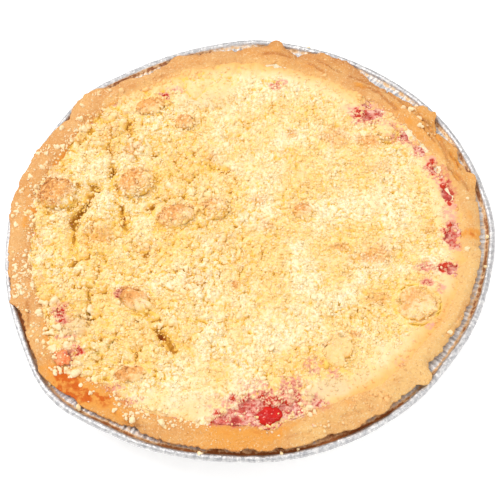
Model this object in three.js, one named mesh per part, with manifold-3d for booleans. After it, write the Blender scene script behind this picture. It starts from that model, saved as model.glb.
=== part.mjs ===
// A rhubarb and apple crumble pie in its round foil tin, in millimetres, +Z up.
// The origin is the centre of the tin's flat base.
// Angles are in degrees from +X, counter-clockwise from above.
import * as THREE from "three";
import { mergeVertices } from "three/addons/utils/BufferGeometryUtils.js";
import Module from "manifold-3d";

const wasm = await Module();
wasm.setup();

// ---- Driving dimensions ----
const GAP = 0.35; // clearance kept between neighbouring pieces
const FOIL = 0.5; // wall of the tin
const BASE_R = 84; // flat base of the tin
const BASE_CORNER = 2.5; // rounding between base and wall
const WALL_TOP_R = 100.5; // where the wall turns out into the flange
const FLANGE_Z = 28; // underside of the flange at its inner edge
const FLANGE_RISE = 0.7; // how much the flange climbs towards the bead
const FLANGE_END_R = 107.7;
const BEAD_R = 1.65; // rolled bead: its own radius, centre radius and centre height
const BEAD_CENTRE_R = 109.35;
const BEAD_Z = 29.4;
const BEAD_POINTS = 5;
const CRIMPS = 48; // radial wrinkles pressed into the flange
const CRIMP_H = 0.3;

const CRUST_T = 4.2; // pastry on the base and up the wall
const CRUST_EDGE_R = 105.5; // mean outer edge of the pastry on the flange
const CRUST_LIP_R = 95; // mean inner edge, where the crumble begins
const LIP_Z = 31.6;
const CREST_Z = 34;
const CREST_IN = 5; // how far outside the lip the crest runs
const EDGE_Z = 31.6; // top of the outer edge, where it lies on the flange
const OVERHANG_RISE = 1.6; // how much the edge is lifted where it lies over the bead

const FILLING_Z = 27;
const FILLING_SHOWS_Z = 31.2; // the filling wells up this high in the gaps of the crumble
const BUMP = 0.35; // bumps of fruit where it shows
const CRUMBLE_FOOT_Z = FILLING_SHOWS_Z + BUMP + GAP;
const CRUMBLE_EDGE_Z = 33;
const CRUMBLE_DOME = 2.2; // how much the middle stands above the edge
const CRUMBLE_RINGS = 19;
const RELIEF = 0.85; // random height of the crumble's surface, up and down

const RIM_SEGMENTS = 120;
const WALL_SEGMENTS = 48;
const INNER_SEGMENTS = 24;

// ---- Shape rules along the circle: [angle, amount in mm, half width in degrees] ----
const TIN_DENTS = [
  [219, 5.0, 13], [129, 2.4, 9], [84, 1.5, 8], [356, 1.2, 10], [241, 0.8, 7],
  [262, -0.8, 8], [50, -0.8, 14], [178, -0.8, 9], [318, -0.7, 8],
];
const CRUST_EDGE_LOBES = [
  [9, 2.4, 2.6], [15.5, -1.2, 2], [18.2, 1.2, 2], [25, -1.8, 2.6], [31, 3.8, 3.2], [40.5, -2.0, 3.6],
  [47.5, -3.2, 4.4], [61.5, 2.2, 6.5], [71.5, -2.6, 2.2], [77.4, 3.4, 2.2], [88, -1.4, 6], [105, 1.6, 3.6],
  [112, -2.0, 4.5], [131.5, 3.4, 6], [146, 2.6, 6], [157, 4.2, 9], [169, 3.6, 6], [178, 1.8, 4], [185, 3.2, 6],
  [193.5, 4.2, 3.2], [203, 1.5, 5], [212, 2.6, 4.5], [222.5, -1.0, 3], [240, -0.4, 4], [266, 1.9, 15],
  [284, -0.8, 2.5], [291.5, 2.2, 3], [297, 1.6, 4], [310.6, 4.4, 2.6], [313.9, -2.2, 1.4], [322, -0.7, 8],
  [338, -1.0, 9], [355, -1.6, 7],
];
const LIP_WANDER = [
  [57, -3.9, 20], [28, -1.8, 9], [11, -1.6, 6], [86, -1.4, 12], [142, 1.8, 7], [159, 3.2, 8], [181, 3.2, 14],
  [209, 3.2, 9], [226, -2.2, 7], [238, 1.4, 6], [271.5, 2.4, 4], [288, -2.6, 10], [334, 1.5, 14],
];
const CREST_WANDER = [
  [213, -1.5, 7], [76, 1.2, 4], [152, 0.8, 6], [163, -0.7, 5], [174, 0.6, 6], [31, 0.8, 5], [55, -0.8, 9],
  [292, 0.7, 5], [311, 0.8, 4], [262, -0.5, 14], [345, -0.6, 14], [190, 0.5, 8], [235, 0.5, 6],
];
// Where the crumble stops short of the pastry and the red filling shows.
const FILLING_GAPS = [
  [268, 12, 8], [281, 6, 5], [341.5, 5, 2.6], [352, 6.5, 3.6], [6, 3.2, 2.6], [14, 3.4, 2.6], [22, 3.2, 2.6],
  [29, 4.5, 3], [42, 8.5, 5], [213.5, 4, 3.5],
];

// ---- Named features of the crumble, in mm from the centre ----
// Lumps of baked crumble: middle, half sizes along and across, turn, height, and how flat the top is.
const LUMPS = [
  { x: -85.5, y: 28, a: 9.3, b: 8.6, turn: 10, h: 6.6, flat: 2.2 },
  { x: -48.5, y: 29.5, a: 8.8, b: 8.2, turn: 40, h: 5.2, flat: 2.2 },
  { x: -31, y: 9.5, a: 9.4, b: 6.0, turn: 12, h: 4.2, flat: 2.2 },
  { x: -13, y: 11, a: 7.0, b: 5.8, turn: -15, h: 3.6, flat: 2.2 },
  { x: -51.5, y: -31.5, a: 9.8, b: 5.0, turn: -36, h: 4.4, flat: 2.2 },
  { x: -40, y: 73.5, a: 8.0, b: 5.0, turn: 8, h: 3.0, flat: 2.8 },
  { x: -24, y: 61.5, a: 5.2, b: 4.6, turn: 0, h: 3.2, flat: 2.2 },
  { x: 71, y: -46.5, a: 9.6, b: 9.2, turn: 20, h: 2.4, flat: 5.0 },
  { x: 69.5, y: 47, a: 4.6, b: 6.2, turn: 12, h: 3.0, flat: 2.5 },
  { x: 34.5, y: -65, a: 6.8, b: 8.2, turn: -10, h: 2.6, flat: 3.2 },
  { x: 26.5, y: 5.5, a: 4.8, b: 4.4, turn: 0, h: 2.6, flat: 2.2 },
  { x: -55, y: -67, a: 7.2, b: 4.0, turn: 6, h: 2.2, flat: 3.2 },
];
const LUMP_RINGS = 3;
const LUMP_SEGMENTS = 13;
// Broad swells and troughs of the topping: middle, half sizes, turn and height.
const SWELLS = [
  { x: -65, y: 7, a: 10, b: 17, turn: 0, h: 2.2 },
  { x: -70, y: 46, a: 10, b: 10, turn: 0, h: 1.6 },
  { x: -45, y: 52, a: 12, b: 8, turn: 20, h: 1.2 },
  { x: -88, y: -6, a: 7, b: 14, turn: 0, h: 0.9 },
  { x: -13, y: 40, a: 8, b: 6, turn: 0, h: 1.3 },
  { x: -30, y: -40, a: 12, b: 10, turn: 30, h: 1.2 },
  { x: 30, y: 35, a: 24, b: 16, turn: -20, h: 0.7 },
  { x: 20, y: -35, a: 22, b: 14, turn: 10, h: 0.8 },
];
// Cracks between them: start, end, half width and depth.
const CRACKS = [
  { from: [-68, 30], to: [-78, 14], w: 3.2, deep: 3.2 },
  { from: [-78, 14], to: [-78, -10], w: 2.6, deep: 2.0 },
  { from: [-59, 40], to: [-54, 4], w: 2.6, deep: 2.2 },
  { from: [-40, 36], to: [-40, 22], w: 2.6, deep: 1.6 },
  { from: [-42, 16], to: [-39, 3], w: 2.4, deep: 1.8 },
  { from: [-46, -38], to: [-36, -57], w: 3.2, deep: 3.0 },
  { from: [-50, 66], to: [-50, 56], w: 2.2, deep: 2.0 },
  { from: [-16, 36], to: [-6, 32], w: 2.4, deep: 1.4 },
];
// Pieces of fruit that show in the gaps.
const FRUIT = [
  { name: "fruit_piece_red", x: 2.5, y: -91.3, a: 5.6, b: 4.5, turn: -4, h: 2.2, flat: 2.4, foot: 32 },
  { name: "fruit_piece_orange", x: -84.6, y: -55.6, a: 4.8, b: 3.9, turn: 123, h: 1.7, flat: 2.4, foot: 33 },
];
const SMALL_CRUMBS = 56; // crumbs that stand out on the topping
const CRUMB_R = [1.7, 3.3];
const CRUMB_SPACING = 10;
// Crumbs scattered on the pastry: [angle from, angle to, how many].
const CRUST_CRUMBS = [[172, 196, 5], [137, 151, 3], [231, 252, 3], [30, 40, 2], [300, 309, 2], [95, 118, 2]];
const CRUST_CRUMB_R = [1.2, 2.0];

// ---- Helpers ----
const radians = THREE.MathUtils.degToRad;

function seeded(seed) {
  let state = seed;
  return () => {
    state = (state * 1664525 + 1013904223) >>> 0;
    return state / 4294967296;
  };
}

function alongCircle(rule, degrees) {
  let sum = 0;
  for (const [at, amount, width] of rule) {
    const off = ((degrees - at + 540) % 360) - 180;
    sum += amount * Math.exp(-((off / width) ** 2));
  }
  return sum;
}

const smoothstep = THREE.MathUtils.smoothstep;
const polar = (r, degrees, z) =>
  new THREE.Vector3(r * Math.cos(radians(degrees)), r * Math.sin(radians(degrees)), z);

// A closed solid from rings listed from the top of the axis, outwards and round to the bottom of the axis.
// Each ring is { count, at(degrees) }, and a count of 1 is a point on the axis.
function ringSolid(rings) {
  const points = [];
  const faces = [];
  const placed = rings.map(({ count, at }) => {
    const start = points.length;
    for (let i = 0; i < count; i++) points.push(at((360 * i) / count, i));
    return { start, count };
  });
  for (let k = 1; k < placed.length; k++) {
    const a = placed[k - 1];
    const b = placed[k];
    let i = 0;
    let j = 0;
    const stepsA = a.count === 1 ? 0 : a.count;
    const stepsB = b.count === 1 ? 0 : b.count;
    while (i < stepsA || j < stepsB) {
      const A = a.start + (i % a.count);
      const B = b.start + (j % b.count);
      const alongB = j < stepsB && (i >= stepsA || (j + 1) / stepsB <= (i + 1) / stepsA + 1e-9);
      if (alongB) {
        faces.push(A, B, b.start + ((j + 1) % b.count));
        j++;
      } else {
        faces.push(A, B, a.start + ((i + 1) % a.count));
        i++;
      }
    }
  }
  const geometry = new THREE.BufferGeometry();
  geometry.setAttribute("position", new THREE.Float32BufferAttribute(points.flatMap((p) => p.toArray()), 3));
  geometry.setIndex(faces);
  return geometry;
}

const axisPoint = (z) => ({ count: 1, at: () => new THREE.Vector3(0, 0, z) });

function toManifold(geometry) {
  const bare = geometry.clone();
  for (const name of ["normal", "uv"]) bare.deleteAttribute(name);
  const merged = mergeVertices(bare, 1e-4);
  return new wasm.Manifold(
    new wasm.Mesh({
      numProp: 3,
      vertProperties: new Float32Array(merged.attributes.position.array),
      triVerts: new Uint32Array(merged.index.array),
    }),
  );
}

function fromManifold(solid) {
  const mesh = solid.getMesh();
  const geometry = new THREE.BufferGeometry();
  geometry.setAttribute("position", new THREE.Float32BufferAttribute(mesh.vertProperties, 3));
  geometry.setIndex([...mesh.triVerts]);
  return geometry;
}

// How far inside an ellipse a point lies: 0 at its middle, 1 on its edge.
function inEllipse({ x, y, a, b, turn }, px, py, margin = 0) {
  const c = Math.cos(radians(turn));
  const s = Math.sin(radians(turn));
  const u = (px - x) * c + (py - y) * s;
  const v = -(px - x) * s + (py - y) * c;
  return Math.hypot(u / (a + margin), v / (b + margin));
}

function distanceToLine([x0, y0], [x1, y1], px, py) {
  const length2 = (x1 - x0) ** 2 + (y1 - y0) ** 2;
  const t = THREE.MathUtils.clamp(((px - x0) * (x1 - x0) + (py - y0) * (y1 - y0)) / length2, 0, 1);
  return Math.hypot(px - x0 - t * (x1 - x0), py - y0 - t * (y1 - y0));
}

// ---- Radii and heights shared by neighbouring pieces ----
const tinShift = (degrees) => alongCircle(TIN_DENTS, degrees);
// The dents fade out down the wall.
const wallShift = (degrees, z) => tinShift(degrees) * smoothstep(z, 0, FLANGE_Z);
const wallR = (z) => BASE_R + ((WALL_TOP_R - BASE_R) * z) / FLANGE_Z;
const crustEdgeR = (degrees) => CRUST_EDGE_R + tinShift(degrees) + alongCircle(CRUST_EDGE_LOBES, degrees);
const lipR = (degrees) => CRUST_LIP_R + 0.9 * tinShift(degrees) + alongCircle(LIP_WANDER, degrees);
const gapDepth = (degrees) => alongCircle(FILLING_GAPS, degrees);
const crumbleR = (degrees) => lipR(degrees) - GAP - gapDepth(degrees);

function crustInnerR(degrees, z) {
  const low = wallR(z) - CRUST_T - 1.2 + wallShift(degrees, z) * 0.9;
  return THREE.MathUtils.lerp(low, lipR(degrees), smoothstep(z, 8, LIP_Z));
}

// The filling lies lower under the topping and wells up all round, beside the pastry.
function fillingTop(degrees, r) {
  const share = r / (lipR(degrees) - GAP);
  return THREE.MathUtils.lerp(FILLING_Z, FILLING_SHOWS_Z, smoothstep(share, 0.8, 0.87));
}

function crackDepth(x, y) {
  let deep = 0;
  for (const crack of CRACKS) {
    deep += crack.deep * Math.exp(-((distanceToLine(crack.from, crack.to, x, y) / crack.w) ** 2));
  }
  return deep;
}

function crumbleSwell(x, y) {
  const degrees = (THREE.MathUtils.radToDeg(Math.atan2(y, x)) + 360) % 360;
  const share = Math.hypot(x, y) / crumbleR(degrees);
  let z = CRUMBLE_EDGE_Z + CRUMBLE_DOME * (1 - share ** 2);
  for (const swell of SWELLS) z += swell.h * Math.exp(-(inEllipse(swell, x, y) ** 2) * 1.2);
  return z - crackDepth(x, y);
}

const seatZ = (piece) => Math.max(crumbleSwell(piece.x, piece.y) - 0.4, CRUMBLE_EDGE_Z);

// ---- Foil tin: a thin pressed bowl with a crimped flange and a rolled bead ----
function tinGeometry() {
  const crimp = (i) => (i % 2 ? CRIMP_H : 0);
  const wall = (count, z, inset) => ({
    count,
    at: (t) => polar(wallR(z) - inset + wallShift(t, z), t, z),
  });
  const floor = (count, r, z) => ({ count, at: (t) => polar(r, t, z) });
  const flange = (r, z) => ({ count: 2 * CRIMPS, at: (t, i) => polar(r + tinShift(t), t, z + crimp(i)) });
  const bead = [];
  for (let k = 0; k < BEAD_POINTS; k++) {
    const turn = radians(160 - (320 * k) / (BEAD_POINTS - 1));
    bead.push({
      count: 2 * CRIMPS,
      at: (t) => {
        const r = BEAD_CENTRE_R + BEAD_R * Math.cos(turn) + tinShift(t);
        return polar(r, t, BEAD_Z + BEAD_R * Math.sin(turn));
      },
    });
  }
  return ringSolid([
    axisPoint(FOIL),
    floor(INNER_SEGMENTS, BASE_R * 0.55, FOIL),
    floor(WALL_SEGMENTS, BASE_R - FOIL, FOIL),
    wall(WALL_SEGMENTS, FOIL + BASE_CORNER, FOIL),
    wall(WALL_SEGMENTS, FLANGE_Z * 0.55, FOIL),
    flange(WALL_TOP_R - FOIL, FLANGE_Z + FOIL),
    flange(FLANGE_END_R - FOIL, FLANGE_Z + FLANGE_RISE + FOIL),
    ...bead,
    flange(FLANGE_END_R, FLANGE_Z + FLANGE_RISE - FOIL),
    flange(WALL_TOP_R + FOIL, FLANGE_Z - FOIL),
    wall(WALL_SEGMENTS, FLANGE_Z * 0.55, 0),
    wall(WALL_SEGMENTS, FOIL + BASE_CORNER, 0),
    floor(WALL_SEGMENTS, BASE_R - FOIL, 0),
    floor(INNER_SEGMENTS, BASE_R * 0.55, 0),
    axisPoint(0),
  ]);
}

// ---- Pastry shell: base, wall, and the browned rim that lies on the flange and over the bead ----
const BEAD_TOP_Z = BEAD_Z + BEAD_R;
const overBead = (degrees) => smoothstep(crustEdgeR(degrees) - tinShift(degrees), 105.8, 107.4);
const edgeLift = (degrees) => OVERHANG_RISE * overBead(degrees);

function crustGeometry() {
  const flangeTop = FLANGE_Z + FLANGE_RISE + FOIL + CRIMP_H + GAP;
  const inner = (count, z) => ({ count, at: (t) => polar(crustInnerR(t, z), t, z) });
  const outer = (count, z) => ({
    count,
    at: (t) => polar(wallR(z) - FOIL - GAP - 0.3 + wallShift(t, z), t, z),
  });
  const rim = (at) => ({ count: RIM_SEGMENTS, at });
  const crestR = (t) => lipR(t) + CREST_IN;
  const crestZ = (t) => CREST_Z + alongCircle(CREST_WANDER, t);
  const midR = (t) => (crestR(t) + crustEdgeR(t)) / 2 + 0.6;
  const bottom = FOIL + GAP;
  return ringSolid([
    axisPoint(bottom + CRUST_T),
    { count: INNER_SEGMENTS, at: (t) => polar(45, t, bottom + CRUST_T) },
    { count: WALL_SEGMENTS, at: (t) => polar(crustInnerR(t, bottom + CRUST_T) - 1, t, bottom + CRUST_T) },
    inner(WALL_SEGMENTS, 8),
    inner(WALL_SEGMENTS, 20),
    rim((t) => polar(lipR(t), t, LIP_Z)),
    rim((t) => polar(lipR(t) + CREST_IN * 0.45, t, LIP_Z + (crestZ(t) - LIP_Z) * 0.75)),
    rim((t) => polar(crestR(t), t, crestZ(t))),
    rim((t) => polar(midR(t), t, crestZ(t) - 0.7 + 0.6 * edgeLift(t))),
    rim((t) => polar(crustEdgeR(t) - 0.8, t, EDGE_Z + 1.1 * edgeLift(t))),
    rim((t) => polar(crustEdgeR(t), t, EDGE_Z - 0.9 + edgeLift(t) * 1.25)),
    rim((t) => polar(crustEdgeR(t) - 0.7, t, flangeTop + (BEAD_TOP_Z + GAP + 0.2 - flangeTop) * overBead(t))),
    rim((t) => polar(Math.min(crustEdgeR(t) - 2, 105.7 + tinShift(t)), t, flangeTop)),
    rim((t) => polar(WALL_TOP_R - FOIL - GAP + tinShift(t) - 0.1, t, flangeTop - 0.3)),
    outer(WALL_SEGMENTS, FLANGE_Z * 0.55),
    outer(WALL_SEGMENTS, FOIL + BASE_CORNER + 0.6),
    { count: WALL_SEGMENTS, at: (t) => polar(BASE_R - FOIL - GAP - 1, t, bottom) },
    { count: INNER_SEGMENTS, at: (t) => polar(45, t, bottom) },
    axisPoint(bottom),
  ]);
}

function crustWithCrumbs() {
  const random = seeded(11);
  let solid = toManifold(crustGeometry());
  for (const [from, to, many] of CRUST_CRUMBS) {
    for (let k = 0; k < many; k++) {
      const t = from + ((to - from) * (k + 0.2 + 0.6 * random())) / many;
      const r = lipR(t) + CREST_IN + (random() - 0.35) * 3;
      const size = THREE.MathUtils.lerp(...CRUST_CRUMB_R, random());
      solid = solid.add(crumb(polar(r, t, CREST_Z + 0.1 * size), size, random));
    }
  }
  return fromManifold(solid);
}

// ---- Filling: red fruit, from the pastry base up to the crumble, higher where it shows ----
function fillingGeometry() {
  const random = seeded(23);
  const bottom = FOIL + GAP + CRUST_T + GAP;
  const top = (count, share) => ({
    count,
    at: (t) => {
      const r = (lipR(t) - GAP) * share;
      const bump = share > 0.8 && gapDepth(t) > 2 ? (2 * random() - 1) * BUMP : 0;
      return polar(r, t, fillingTop(t, r) + bump * smoothstep(r, crumbleR(t) - 1, crumbleR(t) + 2));
    },
  });
  const side = (count, z) => ({ count, at: (t) => polar(crustInnerR(t, z) - 3 * GAP, t, z) });
  return ringSolid([
    axisPoint(FILLING_Z),
    top(INNER_SEGMENTS, 0.45),
    top(WALL_SEGMENTS, 0.8),
    top(WALL_SEGMENTS, 0.87),
    top(72, 0.91),
    top(72, 0.95),
    { count: RIM_SEGMENTS, at: (t) => polar(lipR(t) - GAP - 0.7, t, fillingTop(t, lipR(t)) - 0.5) },
    side(WALL_SEGMENTS, 20),
    side(WALL_SEGMENTS, 8.2),
    { count: WALL_SEGMENTS, at: (t) => polar(crustInnerR(t, bottom) - 2, t, bottom) },
    { count: INNER_SEGMENTS, at: (t) => polar(45, t, bottom) },
    axisPoint(bottom),
  ]);
}

// ---- Crumble topping: a rough bed with crumbs standing on it ----
function crumb(centre, size, random) {
  const shape = new THREE.IcosahedronGeometry(size, 0);
  const flatten = 0.75 + 0.25 * random();
  shape.applyMatrix4(new THREE.Matrix4().makeScale(1, 0.8 + 0.3 * random(), flatten));
  const turn = new THREE.Euler(random() * 6, random() * 6, random() * 6);
  shape.applyMatrix4(new THREE.Matrix4().makeRotationFromEuler(turn));
  shape.translate(centre.x, centre.y, centre.z);
  return toManifold(shape);
}

const seats = [...LUMPS, ...FRUIT];
const underAPiece = (x, y, margin) => seats.find((piece) => inEllipse(piece, x, y, margin) < 1);

function crumbleBed() {
  const random = seeded(5);
  const ringStep = 1 / CRUMBLE_RINGS;
  const rings = [axisPoint(CRUMBLE_EDGE_Z + CRUMBLE_DOME)];
  for (let k = 1; k < CRUMBLE_RINGS; k++) {
    rings.push({
      count: 6 * k,
      at: (t) => {
        const wander = k > 2 ? (random() - 0.5) * 0.5 : 0;
        const share = (k + wander) * ringStep;
        const r = (crumbleR(t) - 1) * share;
        const p = polar(r, t + (wander * 40) / k, 0);
        const lowest = (share > 0.85 ? FILLING_SHOWS_Z : FILLING_Z + 2) + GAP + 1;
        const height = Math.max(crumbleSwell(p.x, p.y) + (2 * random() - 1) * RELIEF, lowest);
        const seat = underAPiece(p.x, p.y, 4.5);
        p.z = seat ? Math.min(height, seatZ(seat)) : height;
        if (seat && inEllipse(seat, p.x, p.y, 0) < 1) p.z = seatZ(seat);
        return p;
      },
    });
  }
  const edge = 6 * CRUMBLE_RINGS;
  const under = (count, share) => ({
    count,
    at: (t) => {
      const r = crumbleR(t) * share;
      return polar(r, t, fillingTop(t, r) + GAP + 0.15);
    },
  });
  rings.push(
    { count: edge, at: (t) => polar(crumbleR(t) - 0.7, t, CRUMBLE_EDGE_Z - 0.5 + (random() - 0.5) * 0.7) },
    { count: edge, at: (t) => polar(crumbleR(t) - 0.2 * random(), t, CRUMBLE_FOOT_Z + 0.4) },
    { count: 72, at: (t) => polar(crumbleR(t) - 0.5, t, CRUMBLE_FOOT_Z) },
    { count: WALL_SEGMENTS, at: (t) => polar(crumbleR(t) * 0.86, t, CRUMBLE_FOOT_Z) },
    under(WALL_SEGMENTS, 0.8),
    under(INNER_SEGMENTS, 0.45),
    axisPoint(FILLING_Z + GAP + 0.15),
  );
  return ringSolid(rings);
}

function crumbleWithCrumbs() {
  const random = seeded(41);
  let solid = toManifold(crumbleBed());
  const placed = [];
  for (let tries = 0; placed.length < SMALL_CRUMBS && tries < 6000; tries++) {
    const t = 360 * random();
    const r = (crumbleR(t) - 5) * Math.sqrt(random());
    const wanted = THREE.MathUtils.lerp(CRUMB_R[1], CRUMB_R[0], placed.length / SMALL_CRUMBS);
    const p = polar(r, t, 0);
    const top = crumbleSwell(p.x, p.y);
    const thin = r > 0.78 * crumbleR(t);
    const size = thin ? Math.min(wanted, 1.6 * (top - CRUMBLE_FOOT_Z - 0.1)) : wanted;
    if (underAPiece(p.x, p.y, size + 1.2) || crackDepth(p.x, p.y) > 0.4) continue;
    if (placed.some((q) => q.distanceTo(p) < CRUMB_SPACING)) continue;
    placed.push(p.clone());
    p.z = top + (thin ? 0.37 : 0.15) * size;
    solid = solid.add(crumb(p, size, random));
  }
  return fromManifold(solid);
}

// ---- Lumps and fruit: low domes with a flat foot on their seat ----
function domeGeometry({ x, y, a, b, turn, h, flat }, footZ, seed) {
  const random = seeded(seed);
  const rough = Array.from({ length: LUMP_SEGMENTS }, () => 0.93 + 0.1 * random());
  const place = (share, z, t, i) => {
    const u = a * share * Math.cos(radians(t)) * rough[i];
    const v = b * share * Math.sin(radians(t)) * rough[i];
    const c = Math.cos(radians(turn));
    const s = Math.sin(radians(turn));
    return new THREE.Vector3(x + u * c - v * s, y + u * s + v * c, z);
  };
  const rings = [{ count: 1, at: () => place(0, footZ + h, 0, 0) }];
  for (let k = 1; k <= LUMP_RINGS; k++) {
    const share = Math.sin((Math.PI / 2) * (k / LUMP_RINGS) ** (2 / flat + 0.09));
    const height = h * Math.pow(1 - share ** flat, 1 / 2.2);
    const z = footZ + Math.max(height, 0.45 * Math.min(1, h / 3));
    const uneven = () => (k < LUMP_RINGS ? (random() - 0.5) * 0.35 : 0);
    rings.push({ count: LUMP_SEGMENTS, at: (t, i) => place(share, z + uneven(), t, i) });
  }
  rings.push({ count: LUMP_SEGMENTS, at: (t, i) => place(0.92, footZ, t, i) });
  rings.push({ count: 1, at: () => place(0, footZ, 0, 0) });
  return ringSolid(rings);
}

// ---- The pie ----
const foil = new THREE.MeshStandardMaterial({ color: 0xc9cacc, roughness: 0.3, metalness: 1 });
const pastry = new THREE.MeshStandardMaterial({ color: 0xeeb468, roughness: 0.75, metalness: 0 });
const fruit = new THREE.MeshStandardMaterial({ color: 0xc2342a, roughness: 0.3, metalness: 0 });
const amber = new THREE.MeshStandardMaterial({ color: 0xe87a32, roughness: 0.3, metalness: 0 });
const crumble = new THREE.MeshStandardMaterial({ color: 0xf6dc98, roughness: 0.9, metalness: 0 });
const toasted = new THREE.MeshStandardMaterial({ color: 0xe9bd7c, roughness: 0.9, metalness: 0 });

const pie = new THREE.Group();

function add(name, geometry, material) {
  geometry.computeVertexNormals();
  const mesh = new THREE.Mesh(geometry, material);
  mesh.name = name;
  pie.add(mesh);
}

add("foil_tin", tinGeometry(), foil);
add("crust", crustWithCrumbs(), pastry);
add("filling", fillingGeometry(), fruit);
add("crumble", crumbleWithCrumbs(), crumble);
LUMPS.forEach((lump, k) => {
  const name = `crumble_lump_${String(k + 1).padStart(2, "0")}`;
  add(name, domeGeometry(lump, seatZ(lump) + GAP, 100 + k), toasted);
});
FRUIT.forEach((piece, k) => {
  add(piece.name, domeGeometry(piece, piece.foot, 200 + k), k ? amber : fruit);
});

export default pie;
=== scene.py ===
"""Looks of a rhubarb and apple crumble pie in its foil tin.

Lengths are in millimetres until a mesh is made, and angles in degrees from +X, counter-clockwise from above.
The rules for the tin's dents, the pastry's edges and the filling's gaps, and the lumps, fruit, swells and
cracks are those of the solids. The last number of a noise or rough call is its seed, which only tells its
pattern from the others.
"""

import math

import bpy
import numpy as np
from mathutils import Matrix, Vector


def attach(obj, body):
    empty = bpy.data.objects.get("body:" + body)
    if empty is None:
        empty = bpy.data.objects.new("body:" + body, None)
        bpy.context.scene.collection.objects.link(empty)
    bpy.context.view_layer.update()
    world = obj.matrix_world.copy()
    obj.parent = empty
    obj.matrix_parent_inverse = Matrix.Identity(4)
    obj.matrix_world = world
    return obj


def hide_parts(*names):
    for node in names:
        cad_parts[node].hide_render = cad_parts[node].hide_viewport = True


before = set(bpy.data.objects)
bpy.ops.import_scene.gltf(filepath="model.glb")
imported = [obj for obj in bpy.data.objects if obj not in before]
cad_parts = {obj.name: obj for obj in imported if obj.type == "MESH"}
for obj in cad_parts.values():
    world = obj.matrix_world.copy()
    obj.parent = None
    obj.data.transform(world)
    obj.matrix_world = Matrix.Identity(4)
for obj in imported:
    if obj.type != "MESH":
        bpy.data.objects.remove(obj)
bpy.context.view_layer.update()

# ---- Camera, floor and light ----
VIEW_TARGET = (0.91, -8.94, 30.0)
VIEW_DISTANCE = 600.0
VIEW_ELEVATION = 59.36
VIEW_ROLL = -5.37
LENS = 95.83
SENSOR = 36.0
NEAREST = 0.01
FLOOR_SIZE = 6.0
FLOOR_Z = -0.0003
FLOOR_COLOUR = (0.96, 0.96, 0.96)
FLOOR_GLOW = 0.22
SKY_COLOUR = (1.0, 0.99, 0.975, 1.0)
SKY_STRENGTH = 0.77
# Each light's name, place and size in metres, and power in watts.
LIGHTS = [
    ("key_light", (-0.75, 0.45, 1.25), 0.9, 11.5),
    ("fill_light", (0.8, -0.7, 1.2), 1.0, 6.0),
]

# ---- Tin ----
GAP = 0.35
FOIL = 0.5
TIN_CENTRE_R = 40.0
BASE_R = 84.0
BASE_CORNER = 2.5
WALL_TOP_R = 100.5
FLANGE_Z = 28.0
FLANGE_RISE = 0.7
FLANGE_END_R = 107.7
BEAD_R = 1.65
BEAD_CENTRE_R = 109.35
BEAD_Z = 29.4

# ---- Pastry, filling and topping ----
CRUST_T = 4.2
CRUST_EDGE_R = 105.5
CRUST_LIP_R = 95.0
LIP_Z = 31.6
CREST_Z = 34.0
CREST_IN = 5.0
EDGE_Z = 31.6
OVERHANG_RISE = 1.6
OVERHANG_START_R = 105.8
OVERHANG_END_R = 107.4
UNDER_CENTRE_R = 45.0
FILLING_Z = 27.0
FILLING_SHOWS_Z = 31.2
CRUMBLE_FOOT_Z = 31.9
CRUMBLE_EDGE_Z = 33.0
CRUMBLE_DOME = 2.2

# ---- Rules along the circle: [angle, amount in mm, half width in degrees] ----
TIN_DENTS = [
    [219, 5.0, 13], [129, 2.4, 9], [84, 1.5, 8], [356, 1.2, 10], [241, 0.8, 7], [262, -0.8, 8],
    [50, -0.8, 14], [178, -0.8, 9], [318, -0.7, 8],
]
CRUST_EDGE_LOBES = [
    [9, 2.4, 2.6], [15.5, -1.2, 2], [18.2, 1.2, 2], [25, -1.8, 2.6], [31, 3.8, 3.2], [40.5, -2.0, 3.6],
    [47.5, -3.2, 4.4], [61.5, 2.2, 6.5], [71.5, -2.6, 2.2], [77.4, 3.4, 2.2], [88, -1.4, 6],
    [105, 1.6, 3.6], [112, -2.0, 4.5], [131.5, 3.4, 6], [146, 2.6, 6], [157, 4.2, 9], [169, 3.6, 6],
    [178, 1.8, 4], [185, 3.2, 6], [193.5, 4.2, 3.2], [203, 1.5, 5], [212, 2.6, 4.5], [222.5, -1.0, 3],
    [240, -0.4, 4], [266, 1.9, 15], [284, -0.8, 2.5], [291.5, 2.2, 3], [297, 1.6, 4], [310.6, 4.4, 2.6],
    [313.9, -2.2, 1.4], [322, -0.7, 8], [338, -1.0, 9], [355, -1.6, 7],
]
LIP_WANDER = [
    [57, -3.9, 20], [28, -1.8, 9], [11, -1.6, 6], [86, -1.4, 12], [142, 1.8, 7], [159, 3.2, 8],
    [181, 3.2, 14], [209, 3.2, 9], [226, -2.2, 7], [238, 1.4, 6], [271.5, 2.4, 4], [288, -2.6, 10],
    [334, 1.5, 14],
]
CREST_WANDER = [
    [213, -1.5, 7], [76, 1.2, 4], [152, 0.8, 6], [163, -0.7, 5], [174, 0.6, 6], [31, 0.8, 5], [55, -0.8, 9],
    [292, 0.7, 5], [311, 0.8, 4], [262, -0.5, 14], [345, -0.6, 14], [190, 0.5, 8], [235, 0.5, 6],
]
FILLING_GAPS = [
    [268, 12, 8], [281, 6, 5], [341.5, 5, 2.6], [352, 6.5, 3.6], [6, 3.2, 2.6], [14, 3.4, 2.6],
    [22, 3.2, 2.6], [29, 4.5, 3], [42, 8.5, 5], [213.5, 4, 3.5],
]
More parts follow.
